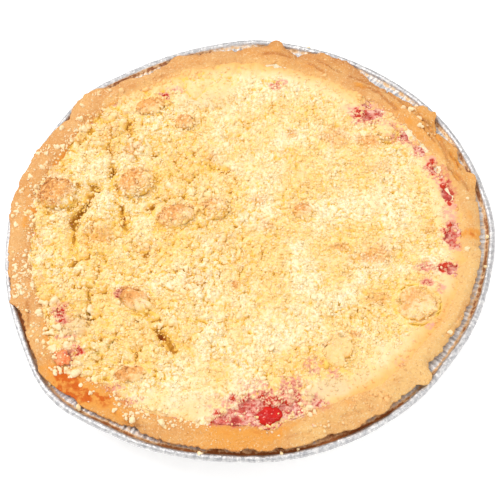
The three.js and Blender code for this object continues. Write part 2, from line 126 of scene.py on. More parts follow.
# Where the pastry is pale near its inner edge, pale all across, and browner at its outer edge.
PALE = [
    [80, 0.5, 42], [120, 0.6, 16], [210, 0.7, 16], [295, 0.6, 10], [322, 0.5, 16], [350, 0.8, 22],
    [15, 0.5, 14],
]
LIGHT = [
    [312, 1.1, 24], [345, 0.65, 14], [8, 0.4, 20], [35, 0.2, 10], [205, 0.4, 10], [245, 0.35, 10],
    [280, 0.5, 8], [110, 0.2, 14], [155, 0.25, 22],
]
RIM_BROWN = [
    [62, 1.0, 34], [20, 0.1, 14], [105, 0.25, 16], [160, 0.3, 20],
]
# Where the pastry's edge is darkened in a thin brown line, and where its outer part is rough and flaky.
EDGE_DARKENED = [
    [338, 0.8, 14], [266, 0.5, 25], [200, 0.6, 12], [132, 0.3, 20], [15, 0.3, 20],
]
FLAKY = [
    [64, 1.0, 18], [18, 0.7, 18], [200, 0.6, 8], [306, 0.7, 8], [354, 0.4, 8],
]
# Where topping and pastry run into each other smoothly.
SMOOTH_EDGES = [
    [84, 1.0, 30], [118, 0.5, 12], [52, 0.5, 12], [15, 0.7, 22], [350, 0.9, 20], [318, 0.9, 20],
    [295, 0.8, 12],
]
# Where the pastry is a deeper gold.
GOLDEN = [
    [262, 1.0, 14], [232, 0.8, 10], [215, 0.5, 8], [22, 0.7, 16], [70, 0.25, 20], [322, 0.3, 14],
]
# Where the foil is coloured brown beside the pastry.
BROWN_ON_FOIL = [
    [12, 0.35, 26], [338, 0.5, 16], [270, 1.8, 22], [295, 0.6, 10], [125, 0.8, 26], [68, 0.35, 12],
    [178, 0.5, 16], [202, 0.8, 8], [232, 0.4, 10],
]


def mound(x, y, a, b, turn, h, **looks):
    """Something rounded on the pie: its middle, half sizes, turn and height."""
    return dict(x=x, y=y, a=a, b=b, turn=turn, h=h, **looks)


# ---- Lumps: flatness of the top, how toasted and how smooth they are, how far up the topping banks against
# them, how deep the trough at their lower right is and how dark the shadow painted in it, how yellow they
# are, how strong a crack rings them ----
LUMPS = [
    mound(-85.5, 28, 9.3, 8.6, 10, 6.6, flat=2.2, toast=1.9, smooth=0.15, bank=0.1, shade=1.0),
    mound(-48.5, 29.5, 8.8, 8.2, 40, 5.2, flat=2.2, toast=1.1, smooth=0.1, bank=0.1, shade=0.7),
    mound(-31, 9.5, 9.4, 6.0, 12, 4.2, flat=2.2, toast=1.3, smooth=0.1, bank=0.25, shade=0.6),
    mound(-13, 11, 7.0, 5.8, -15, 3.6, flat=2.2, toast=0.75, smooth=0.1, bank=0.4, shade=0.3),
    mound(-51.5, -31.5, 9.8, 5.0, -36, 4.4, flat=2.2, toast=1.6, smooth=0.6, bank=0.3, shade=0.7),
    mound(-40, 73.5, 8.0, 5.0, 8, 3.0, flat=2.8, toast=1.5, smooth=0.8, bank=0.5, shade=0.5),
    mound(-24, 61.5, 5.2, 4.6, 0, 3.2, flat=2.2, toast=1.1, smooth=0.5, bank=0.5, shade=0.4),
    mound(71, -46.5, 9.6, 9.2, 20, 2.4, flat=5.0, toast=0.7, smooth=0.6, bank=0.9, shade=0.0, moat=1.0),
    mound(69.5, 47, 4.8, 6.2, 12, 3.0, flat=2.5, toast=0.05, smooth=0.9, bank=0.1, shade=1.0, tone=0.8),
    mound(34.5, -65, 6.8, 8.2, -10, 2.6, flat=3.2, toast=0.45, smooth=0.9, bank=0.9, shade=0.2, tone=1.0),
    mound(26.5, 5.5, 4.8, 4.4, 0, 2.6, flat=2.2, toast=1.1, smooth=0.1, bank=0.5, shade=0.5),
    mound(-55, -67, 7.2, 4.0, 6, 2.2, flat=3.2, toast=1.7, smooth=0.8, bank=0.8, shade=0.3),
]
# Fruit: also the height of its foot, and how thickly crumbs lie on it.
FRUIT = [
    mound(2.5, -91.3, 5.6, 4.5, -4, 2.2, flat=2.4, foot=32.0, strewn=0.02),
    mound(-84.6, -55.6, 4.8, 3.9, 123, 1.7, flat=2.4, foot=33.0, strewn=0.15),
]
# Broad swells of the topping.
SWELLS = [
    mound(-65, 7, 10, 17, 0, 2.2), mound(-70, 46, 10, 10, 0, 1.6), mound(-45, 52, 12, 8, 20, 1.2),
    mound(-88, -6, 7, 14, 0, 0.9), mound(-13, 40, 8, 6, 0, 1.3), mound(-30, -40, 12, 10, 30, 1.2),
    mound(30, 35, 24, 16, -20, 0.7), mound(20, -35, 22, 14, 10, 0.8),
]
# Cracks: start, end, half width and depth.
CRACKS = [
    [(-68, 30), (-78, 14), 3.2, 3.2], [(-78, 14), (-78, -10), 2.6, 2.0], [(-59, 40), (-54, 4), 2.6, 2.2],
    [(-40, 36), (-40, 22), 2.6, 1.6], [(-42, 16), (-39, 3), 2.4, 1.8], [(-46, -38), (-36, -57), 3.2, 3.0],
    [(-50, 66), (-50, 56), 2.2, 2.0], [(-16, 36), (-6, 32), 2.4, 1.4],
]
# Finer cracks that only the scene shows.
FINE_CRACKS = [
    [(-57.5, 36), (-59, 28), 1.2, 2.0], [(-46.5, -35.5), (-44, -42), 1.3, 2.4],
    [(-41, -48), (-37, -56), 1.3, 2.2], [(-65, 53), (-65, 47), 1.0, 1.6], [(-48, 76), (-48, 71), 0.8, 1.4],
    [(-7, 45), (-5.5, 40), 1.4, 1.2], [(26.5, -69), (29.5, -74), 1.3, 2.4], [(31, 7), (31, 4), 1.1, 1.8],
    [(10.5, -80), (13.5, -79), 1.2, 2.2], [(14, 83.5), (23, 81), 0.8, 1.2],
    [(-86.5, -47), (-79, -44.5), 0.7, 1.2], [(-21.5, 4), (-21, 3), 1.2, 2.0],
]
# Browned patches of the topping: middle, half sizes and strength.
TOASTED = [
    (61, 42, 7, 5, 0.7), (46, 46, 9, 7, 0.5), (58.5, 37.5, 4, 4, 0.3), (65, 26, 6, 6, 0.35),
    (56, -20, 8, 6, 0.6), (48, -21, 5, 4, 0.4), (6.5, 14.5, 5, 4, 0.42), (8.5, 1, 5, 4, 0.42),
    (40.5, -14, 4, 2.5, 0.6), (82.5, -8.5, 4, 4, 0.4), (25.5, 50, 3.5, 3, 0.5), (43, -58, 3, 2, 0.6),
    (-49, 49, 6, 5, 0.5), (-7, -29, 2.2, 2.2, 0.9), (-25, -25, 9, 8, 0.3), (-66, 3, 9, 6, 0.5),
    (-14.5, 40, 6, 5, 0.35), (54.5, -41.5, 6, 4, 0.5), (-60, 62, 8, 6, 0.3), (-12, -5, 9, 6, 0.25),
    (-1, -18, 8, 6, 0.2), (24, 25, 10, 8, 0.15), (-89, 44, 5, 7, 0.5), (-94, 6, 3, 8, 0.4),
    (-80, 60, 7, 5, 0.4), (-93, -14, 3, 8, 0.3), (-66, 74, 6, 4, 0.35),
]
# Places where red juice stains the topping: middle, half sizes and strength.
STAINED = [
    (62, 57, 10, 6.5, 1.0), (77.5, 43, 6, 4, 1.0), (84, 35, 4, 5, 0.8), (88, 24, 3.5, 5, 1.0),
    (91, 18, 3, 4, 0.8), (93, 10, 3.5, 7, 1.5), (93, 21, 3, 5, 0.9), (-12, -92.5, 5, 3.5, 1.3),
    (92, -3, 4, 9, 0.5), (91.5, -12.5, 5, 8, 1.1), (86.5, -29, 5, 4, 1.2), (78, -28.5, 4.5, 4, 0.7),
    (77, -36, 3.5, 3, 0.8), (82, -40, 2.5, 4, 0.5), (75.5, -57.5, 3, 3, 0.5), (60, -72, 4, 3, 0.3),
    (20, 79.5, 3, 2.6, 0.9), (24, 81, 4, 2, 0.6), (-33.5, 79.5, 2.6, 2.2, 1.4), (-27, 83, 5, 2, 0.5),
    (-84.5, -34, 4, 6, 0.95), (-83, -46, 5, 1.6, 0.7), (-77.5, -52.7, 3.2, 3.2, 0.9),
    (-81.5, -54.5, 3, 2.5, 0.8), (-62, -72.5, 6, 2.2, 0.5), (-55, -79, 6, 2.2, 0.5), (1, -86, 20, 8, 0.95),
    (13, -79, 7, 5, 0.7), (23, -71, 5, 5, 0.45), (-17, -91, 8, 3.5, 1.05), (22, -90, 7, 4, 0.6),
    (31, -75, 3, 3, 0.5), (-58.5, -28, 2.2, 2.2, 1.0), (71, 50, 6, 3.5, 0.6), (80, 40, 4, 5, 0.4),
    (87, 29, 3.5, 6, 0.35), (91, 14, 3.5, 8, 0.35), (94, 0, 3.5, 9, 0.35), (84, -30, 7, 5, 0.3),
    (-62, -75, 8, 3, 0.3), (-4, -77, 10, 4, 0.35),
]
# Smooth, cakey patches of the topping: middle, half sizes and strength.
SMOOTH = [
    (29, -84, 9, 6, 1.0), (45, -76, 6, 5, 0.8), (55, -68, 7, 6, 0.7), (-12, 80, 20, 8, 0.95),
    (12, 88, 12, 4, 0.9), (36, 82, 10, 5, 0.9), (52, 70, 6, 5, 0.6), (-35, -86, 14, 4, 0.5),
    (88, -2, 4, 10, 0.7), (84, -45, 4, 8, 0.6), (75, -62, 6, 5, 0.6), (54, 62, 5, 3, 1.0),
    (-76, -47, 5, 4, 0.5), (-80, -40, 4, 3, 0.6), (-55, -67, 7, 4, 0.7), (-30, -86, 14, 6, 0.8),
    (-45, -79, 10, 5, 0.6), (-20, -72, 14, 8, 0.45), (90, 22, 4, 10, 0.6), (46, -74, 5, 5, 0.9),
    (-20, 88, 10, 4, 0.8), (62, -70, 8, 6, 0.8),
]
# Creamy, paler patches of the topping: middle, half sizes and strength.
CREAMY = [
    (29, -83, 12, 7, 0.95), (42, -78, 6, 5, 0.4), (-12, 74, 18, 6, 0.4), (92, -2, 4.5, 9, 0.6),
    (86, -38, 6, 5, 0.5), (-78, -42, 7, 7, 0.7), (54, 62, 5, 3.5, 0.8), (13, -82.5, 3.5, 3, 0.9),
    (11.5, -87, 3, 2.5, 0.9), (19, -87, 3, 2.5, 0.9), (-80, -60, 6, 4, 0.6), (46, -90, 10, 4, 0.4),
    (-30, -84, 14, 5, 0.35),
]
# Pale crumbs scattered on the pastry: middle, half sizes and how thickly they lie.
SPRINKLED = [
    (-100, 27, 7, 15, 1.0), (-101.5, -16, 6, 18, 0.9), (-92, 50, 8, 8, 0.6), (-82, 62, 9, 8, 0.35),
    (46, -90, 13, 6, 0.7), (82, 57, 4, 3, 0.9), (87, 43, 4, 2, 0.7), (-78, -64, 6, 5, 0.7),
    (-55, -86, 6, 4, 0.7), (-41, -90, 7, 4, 0.6), (101, 26, 2.5, 5, 0.8), (-60, 84, 7, 5, 0.5),
    (-86, -56, 7, 7, 0.7), (-25, 96, 8, 3, 0.2), (30, -98, 10, 3, 0.3), (-98, -38, 5, 9, 0.5),
    (-66, 78, 6, 5, 0.35), (95, -12, 4, 6, 0.3),
]
# Glazed syrup on the pastry: angle, half width in degrees, distance out from the lip, half width, strength.
SYRUP = [
    (143, 11, 0.5, 1.2, 0.7), (222, 5.5, 6.5, 5.0, 1.0), (218, 5, 5.5, 4.5, 1.2),
    (221, 5.0, 11.5, 3.5, 1.3), (225, 4, 9.0, 4.0, 1.1), (229, 4.0, 6.5, 4.0, 1.0), (234, 3, 7.5, 1.8, 0.7),
    (270, 9, 3.6, 2.6, 0.62), (261, 5, 4.0, 3.0, 0.6), (68, 4, 5.0, 2.0, 0.3), (51, 2, 6, 2, 0.5),
    (32, 2, 3, 2, 0.5), (168, 2, 1.5, 1.5, 0.6), (172, 2, 4, 1.5, 0.6), (292, 2, 4, 2, 0.3),
    (205, 4, 1.5, 1.5, 0.5), (357, 2.5, 5, 2, 0.35), (352.5, 1.6, 4.5, 5, 0.75), (20, 4, 4, 1.2, 0.3),
    (15, 3.0, 9.0, 1.6, 0.65), (24, 2.5, 8.5, 1.2, 0.5), (10, 2.0, 6.5, 1.2, 0.5), (152, 4, 1.0, 1.2, 0.6),
    (128, 5, 1.0, 1.0, 0.4),
]
# Flakes and cracks of the pastry: angles from and to, distances out from the lip, half width and depth.
FOLDS = [
    (72.5, 81, 7.5, 7.0, 0.8, 1.0), (62, 68, 5.0, 7.0, 0.7, 0.7), (44, 52, 7.5, 5.0, 0.8, 0.9),
    (37, 46, 3.5, 6.5, 0.8, 1.0), (40, 56, 9.5, 9.0, 0.6, 0.8), (5, 12, 8.5, 7.0, 0.8, 1.0),
    (13, 24, 5.0, 8.0, 0.7, 0.8), (24, 33, 8.0, 9.5, 0.7, 0.8), (304, 308, 3.0, 7.0, 0.7, 0.7),
    (288, 294, 8.5, 9.5, 0.8, 0.7), (195, 202, 6.0, 8.5, 0.9, 0.7), (8, 15, 6.0, 4.5, 0.4, 0.9),
    (12, 19, 10.0, 8.0, 0.4, 1.0), (17, 24, 7.0, 9.0, 0.4, 0.9), (22, 30, 5.0, 6.5, 0.4, 0.8),
    (27, 33, 10.5, 7.5, 0.4, 1.0), (34, 41, 8.0, 9.0, 0.4, 0.8), (58, 66, 8.5, 10.5, 0.4, 0.7),
    (236, 242, 8.0, 6.5, 0.7, 0.6), (275, 281, 7.5, 8.5, 0.6, 0.6), (322, 330, 6.5, 7.5, 0.6, 0.5),
]
# The largest pale crumbs: place and radius.
LARGE_CRUMBS = [
    (-89, -43, 2.3), (-86, -41, 2.5), (-84, -45, 2.0), (-90, -48, 1.8), (-88, -51, 2.5), (-83, -50, 2.6),
    (-80, -48, 1.8), (-87, -56, 1.3), (-87, -62, 1.4), (-82, -62, 2.2), (-78, -64, 2.5), (-77, -59, 1.8),
    (-73, -67, 1.5), (-72, -74, 1.2), (-92, -28, 2.3), (-94, -33, 2.0), (-87, -28, 2.6), (-71, -33, 2.3),
    (-55, -88, 2.1), (-42, -91, 2.3), (-62, -83, 1.6), (-83, 66, 1.4), (-73, 78, 1.3), (-74, 70, 1.8),
    (-72, 64, 1.7), (-63, 75, 1.3), (86, 47, 1.6), (83, 57, 1.8), (101, 5, 1.3), (97, -21, 1.5),
    (83, -61, 1.3), (20, -90, 2.3), (16, -87, 1.6), (19, -93, 1.8), (12, -82, 1.8),
]
# Loose crumbs on the foil: place and radius.
FOIL_CRUMBS = [
    (-78, -78.6, 1.7), (-69, -86.5, 1.0), (-27.5, -104.5, 1.6), (-14, -107, 0.9), (6, -107.5, 1.2),
    (-52, -97, 0.9), (104, -29, 1.1), (107.5, -14, 1.3), (105.5, 3, 1.0), (39, 103, 1.1), (33, 105, 0.8),
    (13, -106.5, 0.8), (-90, -66, 0.9),
]

# ---- Fineness ----
MAP_STEP = 0.3
MAP_HALF = 113.0
NOISE_CELLS = 64
NOISE_START = (1000.37, 1000.71)
BED_CELLS = 280
ROUND = 960
CRIMPS = 264
FLANGE_RINGS = 8
BEAD_RINGS = 12
CRUST_RINGS = 40
FILLING_RINGS = 24
# Rings and points per ring of a dome.
BIG_GRID = (36, 108)
SMALL_GRID = (26, 72)
FRUIT_GRID = (28, 84)
BIG_LUMP = 8
DOME_POWER = 1 / 2.2
# The side, roughly away from the key light, where the lumps' troughs and painted shadows lie.
SHADOW_ANGLE = -40.0
MM = 0.001

# ---- Crumbs: how many of each kind, how far out and high they lie, how much painted shade darkens their
# undersides, and how far out and how large, squared, the balls of a knobbly one are ----
GRAINS = 22000
CRUMBS = 8400
CRUST_CRUMBS = 2800
KNOBS = 1150
CRUMBS_END_R = 108
TOP_LIMIT = 39.9
LOW_SIDE = 0.3
UNDERSIDE_SHADE = 0.45
KNOB_OUT = 0.6
KNOB_SQUARE = 0.3


# ---- Numbers ----
def grid_place(x, y, size):
    """Each place counted in grid cells of that size, and the corner of the cell it is in."""
    u = x / size + NOISE_START[0]
    v = y / size + NOISE_START[1]
    return u, v, np.floor(u).astype(int), np.floor(v).astype(int)


def noise(x, y, size, seed):
    """Smooth random values from -1 to 1, with features about size mm across."""
    table = np.random.default_rng(seed).uniform(-1.0, 1.0, (NOISE_CELLS, NOISE_CELLS))
    u, v, i, j = grid_place(x, y, size)
    fu = u - i
    fv = v - j
    fu = fu * fu * (3 - 2 * fu)
    fv = fv * fv * (3 - 2 * fv)
    i0, i1 = i % NOISE_CELLS, (i + 1) % NOISE_CELLS
    j0, j1 = j % NOISE_CELLS, (j + 1) % NOISE_CELLS
    low = table[i0, j0] * (1 - fu) + table[i1, j0] * fu
    high = table[i0, j1] * (1 - fu) + table[i1, j1] * fu
    return low * (1 - fv) + high * fv


def rough(x, y, size, seed):
    """Noise with two finer and fainter layers of noise on top, each layer turned."""
    total = 0.0
    for k in range(3):
        total = total + noise(x, y, size / 2**k, seed + k) / 1.7**k
        x, y = 0.8 * x - 0.6 * y, 0.6 * x + 0.8 * y
    return total / 1.9


def on_circle(r, t):
    a = np.radians(t)
    return r * np.cos(a), r * np.sin(a)


def round_edge(t, size, seed):
    """Uneven values along the rim, with features about size mm long."""
    return rough(*on_circle(100, t), size, seed)


def scattered_cells(x, y, size, seed):
    """Each place's distance to the nearest of many scattered points, and how much farther the next one is."""
    table = np.random.default_rng(seed).uniform(0.1, 0.9, (NOISE_CELLS, NOISE_CELLS, 2))
    u, v, i, j = grid_place(x, y, size)
    first = np.full(x.shape, 9.0)
    second = first.copy()
    for di in (-1, 0, 1):
        for dj in (-1, 0, 1):
            at = table[(i + di) % NOISE_CELLS, (j + dj) % NOISE_CELLS]
            off = np.hypot(i + di + at[..., 0] - u, j + dj + at[..., 1] - v)
            second = np.minimum(second, np.maximum(first, off))
            first = np.minimum(first, off)
    return first * size, (second - first) * size


def smoothstep(x, low, high):
    t = np.clip((x - low) / (high - low), 0.0, 1.0)
    return t * t * (3 - 2 * t)


def bell(x):
    return np.exp(-(x**2))


def heap(away, reach):
    """A rounded heap: 1 in its middle, and 0 at its reach."""
    return 1 - (away / reach) ** 2


def angle_from(at, t):
    """How far t is past an angle, from -180 to 180."""
    return (t - at + 540) % 360 - 180


def along_circle(rule, t):
    total = np.zeros_like(np.asarray(t, dtype=float))
    for at, amount, width in rule:
        total += amount * bell(angle_from(at, t) / width)
    return total


def share_along(rule, t):
    """A rule's values, kept between 0 and 1."""
    return np.clip(along_circle(rule, t), 0, 1)


def in_ellipse(piece, x, y):
    """0 in the middle of a mound, 1 on its outline and more outside it."""
    c = math.cos(math.radians(piece["turn"]))
    s = math.sin(math.radians(piece["turn"]))
    u = (x - piece["x"]) * c + (y - piece["y"]) * s
    v = -(x - piece["x"]) * s + (y - piece["y"]) * c
    return np.hypot(u / piece["a"], v / piece["b"])


def distance_to_line(start, end, x, y):
    dx, dy = end[0] - start[0], end[1] - start[1]
    t = np.clip(((x - start[0]) * dx + (y - start[1]) * dy) / (dx * dx + dy * dy), 0, 1)
    return np.hypot(x - start[0] - t * dx, y - start[1] - t * dy)


def angle_of(x, y):
    return (np.degrees(np.arctan2(y, x)) + 360) % 360


# ---- Radii and heights shared by neighbouring pieces ----
def tin_shift(t):
    return along_circle(TIN_DENTS, t)


def wall_shift(t, z):
    return tin_shift(t) * smoothstep(z, 0.0, FLANGE_Z)


def wall_r(z):
    return BASE_R + (WALL_TOP_R - BASE_R) * z / FLANGE_Z


def lip_r(t):
    return CRUST_LIP_R + 0.9 * tin_shift(t) + along_circle(LIP_WANDER, t)


def crust_edge_r(t):
    return CRUST_EDGE_R + tin_shift(t) + along_circle(CRUST_EDGE_LOBES, t)


def overhang(r):
    """From 0 to 1, how far over the bead the pastry's edge hangs, at its radius less the tin's dents."""
    return smoothstep(r, OVERHANG_START_R, OVERHANG_END_R)


def gap_depth(t):
    return along_circle(FILLING_GAPS, t)


def gap_share(depth):
    """From 0 to 1, how open a gap of that depth is."""
    return smoothstep(depth, 0.6, 2.4)


def crumble_r(t):
    return lip_r(t) - GAP - gap_depth(t)


def crust_inner_r(t, z):
    low = wall_r(z) - CRUST_T - 1.2 + wall_shift(t, z) * 0.9
    share = smoothstep(z, 8.0, LIP_Z)
    return low + (lip_r(t) - low) * share


def crumble_swell(x, y):
    share = np.hypot(x, y) / crumble_r(angle_of(x, y))
    z = CRUMBLE_EDGE_Z + CRUMBLE_DOME * (1 - share**2)
    for swell in SWELLS:
        z = z + swell["h"] * np.exp(-(in_ellipse(swell, x, y) ** 2) * 1.2)
    for start, end, width, deep in CRACKS:
        z = z - deep * bell(distance_to_line(start, end, x, y) / width)
    return z


def crest_wander(t):
    return along_circle(CREST_WANDER, t)


def flaky(t):
    return along_circle(FLAKY, t)


def edge_blend(t):
    """1 where the topping's edge runs smoothly into the pastry, 0 where it is ragged."""
    return share_along(SMOOTH_EDGES, t)


def seat_z(lump):
    return max(float(crumble_swell(lump["x"], lump["y"])) - 0.4, CRUMBLE_EDGE_Z)


def foot_z(piece):
    """Height of the foot of a lump or a piece of fruit."""
    return piece["foot"] if "foot" in piece else seat_z(piece) + GAP


def far_side(lump, x, y):
    """How toasted a lump is at a place: most at its far left."""
    return 0.6 + 0.4 * (y - lump["y"]) / lump["b"] - 0.3 * (x - lump["x"]) / lump["a"]


# ---- Maps over the whole pie, seen from above ----
map_axis = np.arange(-MAP_HALF, MAP_HALF + MAP_STEP, MAP_STEP)
MAP_X, MAP_Y = np.meshgrid(map_axis, map_axis)


def read_map(values, x, y):
    """The map's values at any places, read between its cells."""
    u = np.clip((x + MAP_HALF) / MAP_STEP, 0, len(map_axis) - 1.001)
    v = np.clip((y + MAP_HALF) / MAP_STEP, 0, len(map_axis) - 1.001)
    i = u.astype(int)
    j = v.astype(int)
    fu = u - i
    fv = v - j
    low = values[j, i] * (1 - fu) + values[j, i + 1] * fu
    high = values[j + 1, i] * (1 - fu) + values[j + 1, i + 1] * fu
    return low * (1 - fv) + high * fv


def blurred(values, radius):
    """A box blur, run twice."""
    reach = max(int(round(radius / MAP_STEP)), 1)
    width = 2 * reach + 1
    for axis in (0, 1, 0, 1):
        pad = [(0, 0), (0, 0)]
        pad[axis] = (reach + 1, reach)
        total = np.cumsum(np.pad(values, pad, mode="edge"), axis=axis)
        if axis == 0:
            values = (total[width:] - total[:-width]) / width
        else:
            values = (total[:, width:] - total[:, :-width]) / width
    return values


def rough_map(size, seed):
    return rough(MAP_X, MAP_Y, size, seed)


def patches(size, seed, low, high):
    """A map from 0 to 1 of uneven patches about size mm across."""
    return smoothstep(rough_map(size, seed), low, high)


def bent_cells(size, bend, seed):
    """Cells over the whole pie with their borders bent, as in scattered_cells."""
    x = MAP_X + bend * rough_map(1.6 * bend, seed + 1)
    y = MAP_Y + bend * rough_map(1.6 * bend, seed + 2)
    return scattered_cells(x, y, size, seed)


def near_map(piece):
    return in_ellipse(piece, MAP_X, MAP_Y)


def looked_up(rule, t):
    """A rule's values at many angles, read from its values at every quarter degree."""
    turn = np.linspace(0, 360, 1441)
    return np.interp(t, turn, rule(turn))


MAP_T = angle_of(MAP_X, MAP_Y)
MAP_R = np.hypot(MAP_X, MAP_Y)
LIP_MAP = looked_up(lip_r, MAP_T)
BLEND_MAP = looked_up(edge_blend, MAP_T)
DEPTH_MAP = looked_up(gap_depth, MAP_T)


def across_lip(start, end, wander=0.0):
    """A map that rises from 0 to 1 between two distances out from the pastry's lip."""
    return smoothstep(MAP_R + wander, LIP_MAP + start, LIP_MAP + end)


def ragged_ellipses(places, size, seed, ragged=0.55):
    """A map of patches with uneven borders, up to each patch's strength in its middle."""
    total = np.zeros_like(MAP_X)
    wander = 1 + ragged * rough_map(size, seed)
    for x, y, a, b, strength in places:
        near = np.hypot((MAP_X - x) / a, (MAP_Y - y) / b) / np.maximum(wander, 0.3)
        total = np.maximum(total, strength * (1 - smoothstep(near, 0.45, 1.25)))
    return total


# How clumpy the topping is: coarse at the left, fine and flat at the right and along the front.
coarse = smoothstep(MAP_X + 12 * noise(MAP_X, MAP_Y, 30, 3), 35, -55)
coarse *= 1 - 0.8 * smoothstep(-MAP_Y, 58, 84)
smooth_map = ragged_ellipses(SMOOTH, 4.0, 25)
smooth_map = np.maximum(smooth_map, patches(8, 21, 0.25, 0.7) * (0.7 - 0.5 * coarse))
smooth_map = np.maximum(smooth_map, BLEND_MAP * across_lip(-10, -4))

# The topping's relief: clumps, smaller clods and bits, with gaps between them.
clump_near, clump_edge = bent_cells(9.5, 3.4, 201)
clod_near, clod_edge = bent_cells(3.9, 1.2, 211)
bit_near, bit_edge = bent_cells(1.9, 0.6, 221)
clump_gap = bell(clump_edge / 2.0) * patches(13, 231, -0.35, 0.35) * (0.15 + 0.85 * coarse)
clod_gap = bell(clod_edge / 0.8) * patches(7, 233, -0.4, 0.4) * (1 - 0.8 * smooth_map)
bit_gap = bell(bit_edge / 0.45) * (1 - smooth_map)
relief = (1.5 * coarse + 0.1) * heap(clump_near, 6.5) - 1.7 * clump_gap
relief += (0.3 + 0.4 * coarse) * (1 - 0.6 * smooth_map) * heap(clod_near, 2.8) - 0.8 * clod_gap
relief += 0.45 * (1 - 0.8 * smooth_map) * heap(bit_near, 1.4) - 0.4 * bit_gap
relief += 0.5 * rough_map(9, 31)
relief -= blurred(relief, 9.0)
relief *= 1 - 0.6 * across_lip(-7, 0) * (1 - coarse)

# Cracks, and the troughs beside the lumps: dug into the bed at the lumps' lower right, and painted dark there
# as their shadow.
crack_map = 0.9 * patches(4.5, 47, 0.2, 0.5) * coarse * across_lip(-9, -4)
bent = 1.7 * rough_map(5.0, 41)
for start, end, width, deep in CRACKS + FINE_CRACKS:
    away = (distance_to_line(start, end, MAP_X, MAP_Y) + bent) / (0.7 * width)
    crack_map = np.maximum(crack_map, min(deep / 3.0, 0.9) * bell(away))
crack_map *= patches(5, 43, -0.7, 0.1)
trough_and_shadow_map = np.zeros_like(MAP_X)
for lump in LUMPS:
    shadow_side = np.cos(np.arctan2(MAP_Y - lump["y"], MAP_X - lump["x"]) - math.radians(SHADOW_ANGLE))
    near = near_map(lump)
    trough = lump["shade"] * bell((near - 1.17) / 0.14) * smoothstep(shadow_side, -0.5, 0.6)
    trough_and_shadow_map = np.maximum(trough_and_shadow_map, trough)
    if "moat" in lump:
        wavy = near + 0.05 * rough_map(3.5, 49)
        moat = lump["moat"] * bell((wavy - 1.06) / 0.05) * patches(6, 48, -0.5, 0.1)
        trough_and_shadow_map = np.maximum(trough_and_shadow_map, moat)
trough_and_shadow_map *= patches(5, 45, -0.5, 0.2)
relief -= 1.2 * crack_map + 1.3 * trough_and_shadow_map

# The height of the bed, banked up against the lumps.
bed_map = crumble_swell(MAP_X, MAP_Y) + relief
side_map = patches(6, 300, -0.5, 0.3) * (1 - np.minimum(1.3 * trough_and_shadow_map, 1))
for lump in LUMPS:
    near = near_map(lump)
    bank = seat_z(lump) + lump["bank"] * side_map * lump["h"] * (1 - smoothstep(near, 0.95, 1.45)) * 0.75
    bed_map = np.where(near < 1.45, np.maximum(bed_map, bank), bed_map)

# How hollow each place is and how much painted shade it gets, and how browned, stained, creamy and deep in
# tone it is.
hollow = smoothstep(blurred(bed_map, 1.2) - bed_map, 0.1, 1.1)
valley_map = smoothstep(blurred(bed_map, 4.0) - bed_map, 0.5, 2.2)
valley_map = np.maximum(valley_map, np.maximum(crack_map, trough_and_shadow_map))
# Painted shade: hollows, valleys, cracks and the troughs by the lumps get a deeper amber colour, the cracks a
# brown one.
cavity_map = np.clip(0.55 * hollow + 0.35 * clod_gap + 0.8 * valley_map + 0.3 * trough_and_shadow_map, 0, 1)
painted_shade_map = np.clip(cavity_map + (0.06 + 0.1 * coarse) * (1 - smooth_map), 0, 1)
painted_shade_map += 0.5 * smoothstep(crack_map, 0.45, 0.85) * patches(5, 44, 0.15, 0.5)
toast_map = ragged_ellipses(TOASTED, 3.0, 51) * (1 - 0.6 * valley_map)
toast_map = np.maximum(toast_map, 0.2 * patches(7, 53, 0.1, 0.7))
stain_map = ragged_ellipses(STAINED, 2.6, 61, 0.85)
stained_map = np.maximum(stain_map, 0.4 * smoothstep(DEPTH_MAP, 3.0, 6.0) * across_lip(-4, -1))
cream_map = ragged_ellipses(CREAMY, 3.0, 67)
cream_map *= 1 - across_lip(-3, 1.5, 2.0 * rough_map(5.0, 113))
tone_map = np.clip(0.5 + 0.9 * rough_map(15, 103), 0, 1)
verge_map = BLEND_MAP * across_lip(-7, 2, 2.0 * rough_map(6.0, 109))

# Over the gaps the topping is so thin that the red filling shows through it in patches.
gap_start = looked_up(crumble_r, MAP_T) + 3.0 * rough_map(6.0, 105) + 1.5 * rough_map(2.0, 106)
gap_start = np.maximum(gap_start, 0.87 * LIP_MAP)
gap_map = smoothstep(DEPTH_MAP, 0.8, 2.5) * smoothstep(MAP_R, gap_start - 0.8, gap_start + 0.8)
thin_map = FILLING_SHOWS_Z + 1.0 - 1.5 * stain_map + 1.6 * rough_map(4.0, 107) + 0.9 * rough_map(1.6, 108)


# ---- Meshes ----
def new_mesh(name, points, faces, **attributes):
    """An object from points in mm and faces, with one number per point for each attribute."""
    mesh = bpy.data.meshes.new(name)
    points = np.asarray(points, dtype=np.float32) * MM
    mesh.vertices.add(len(points))
    mesh.vertices.foreach_set("co", points.ravel())
    sizes = np.array([len(group[0]) for group in faces for _ in group], dtype=np.int32)
    loops = np.concatenate([np.asarray(group, dtype=np.int32).ravel() for group in faces])
    mesh.loops.add(len(loops))
    mesh.loops.foreach_set("vertex_index", loops)
    mesh.polygons.add(len(sizes))
    mesh.polygons.foreach_set("loop_start", np.concatenate([[0], np.cumsum(sizes)[:-1]]).astype(np.int32))
    mesh.polygons.foreach_set("use_smooth", np.full(len(sizes), True))
    mesh.update(calc_edges=True)
    mesh.validate()
    for key, values in attributes.items():
        layer = mesh.attributes.new(key, "FLOAT", "POINT")
        layer.data.foreach_set("value", np.asarray(values, dtype=np.float32).ravel())
    piece = bpy.data.objects.new(name, mesh)
    bpy.context.collection.objects.link(piece)
    return piece


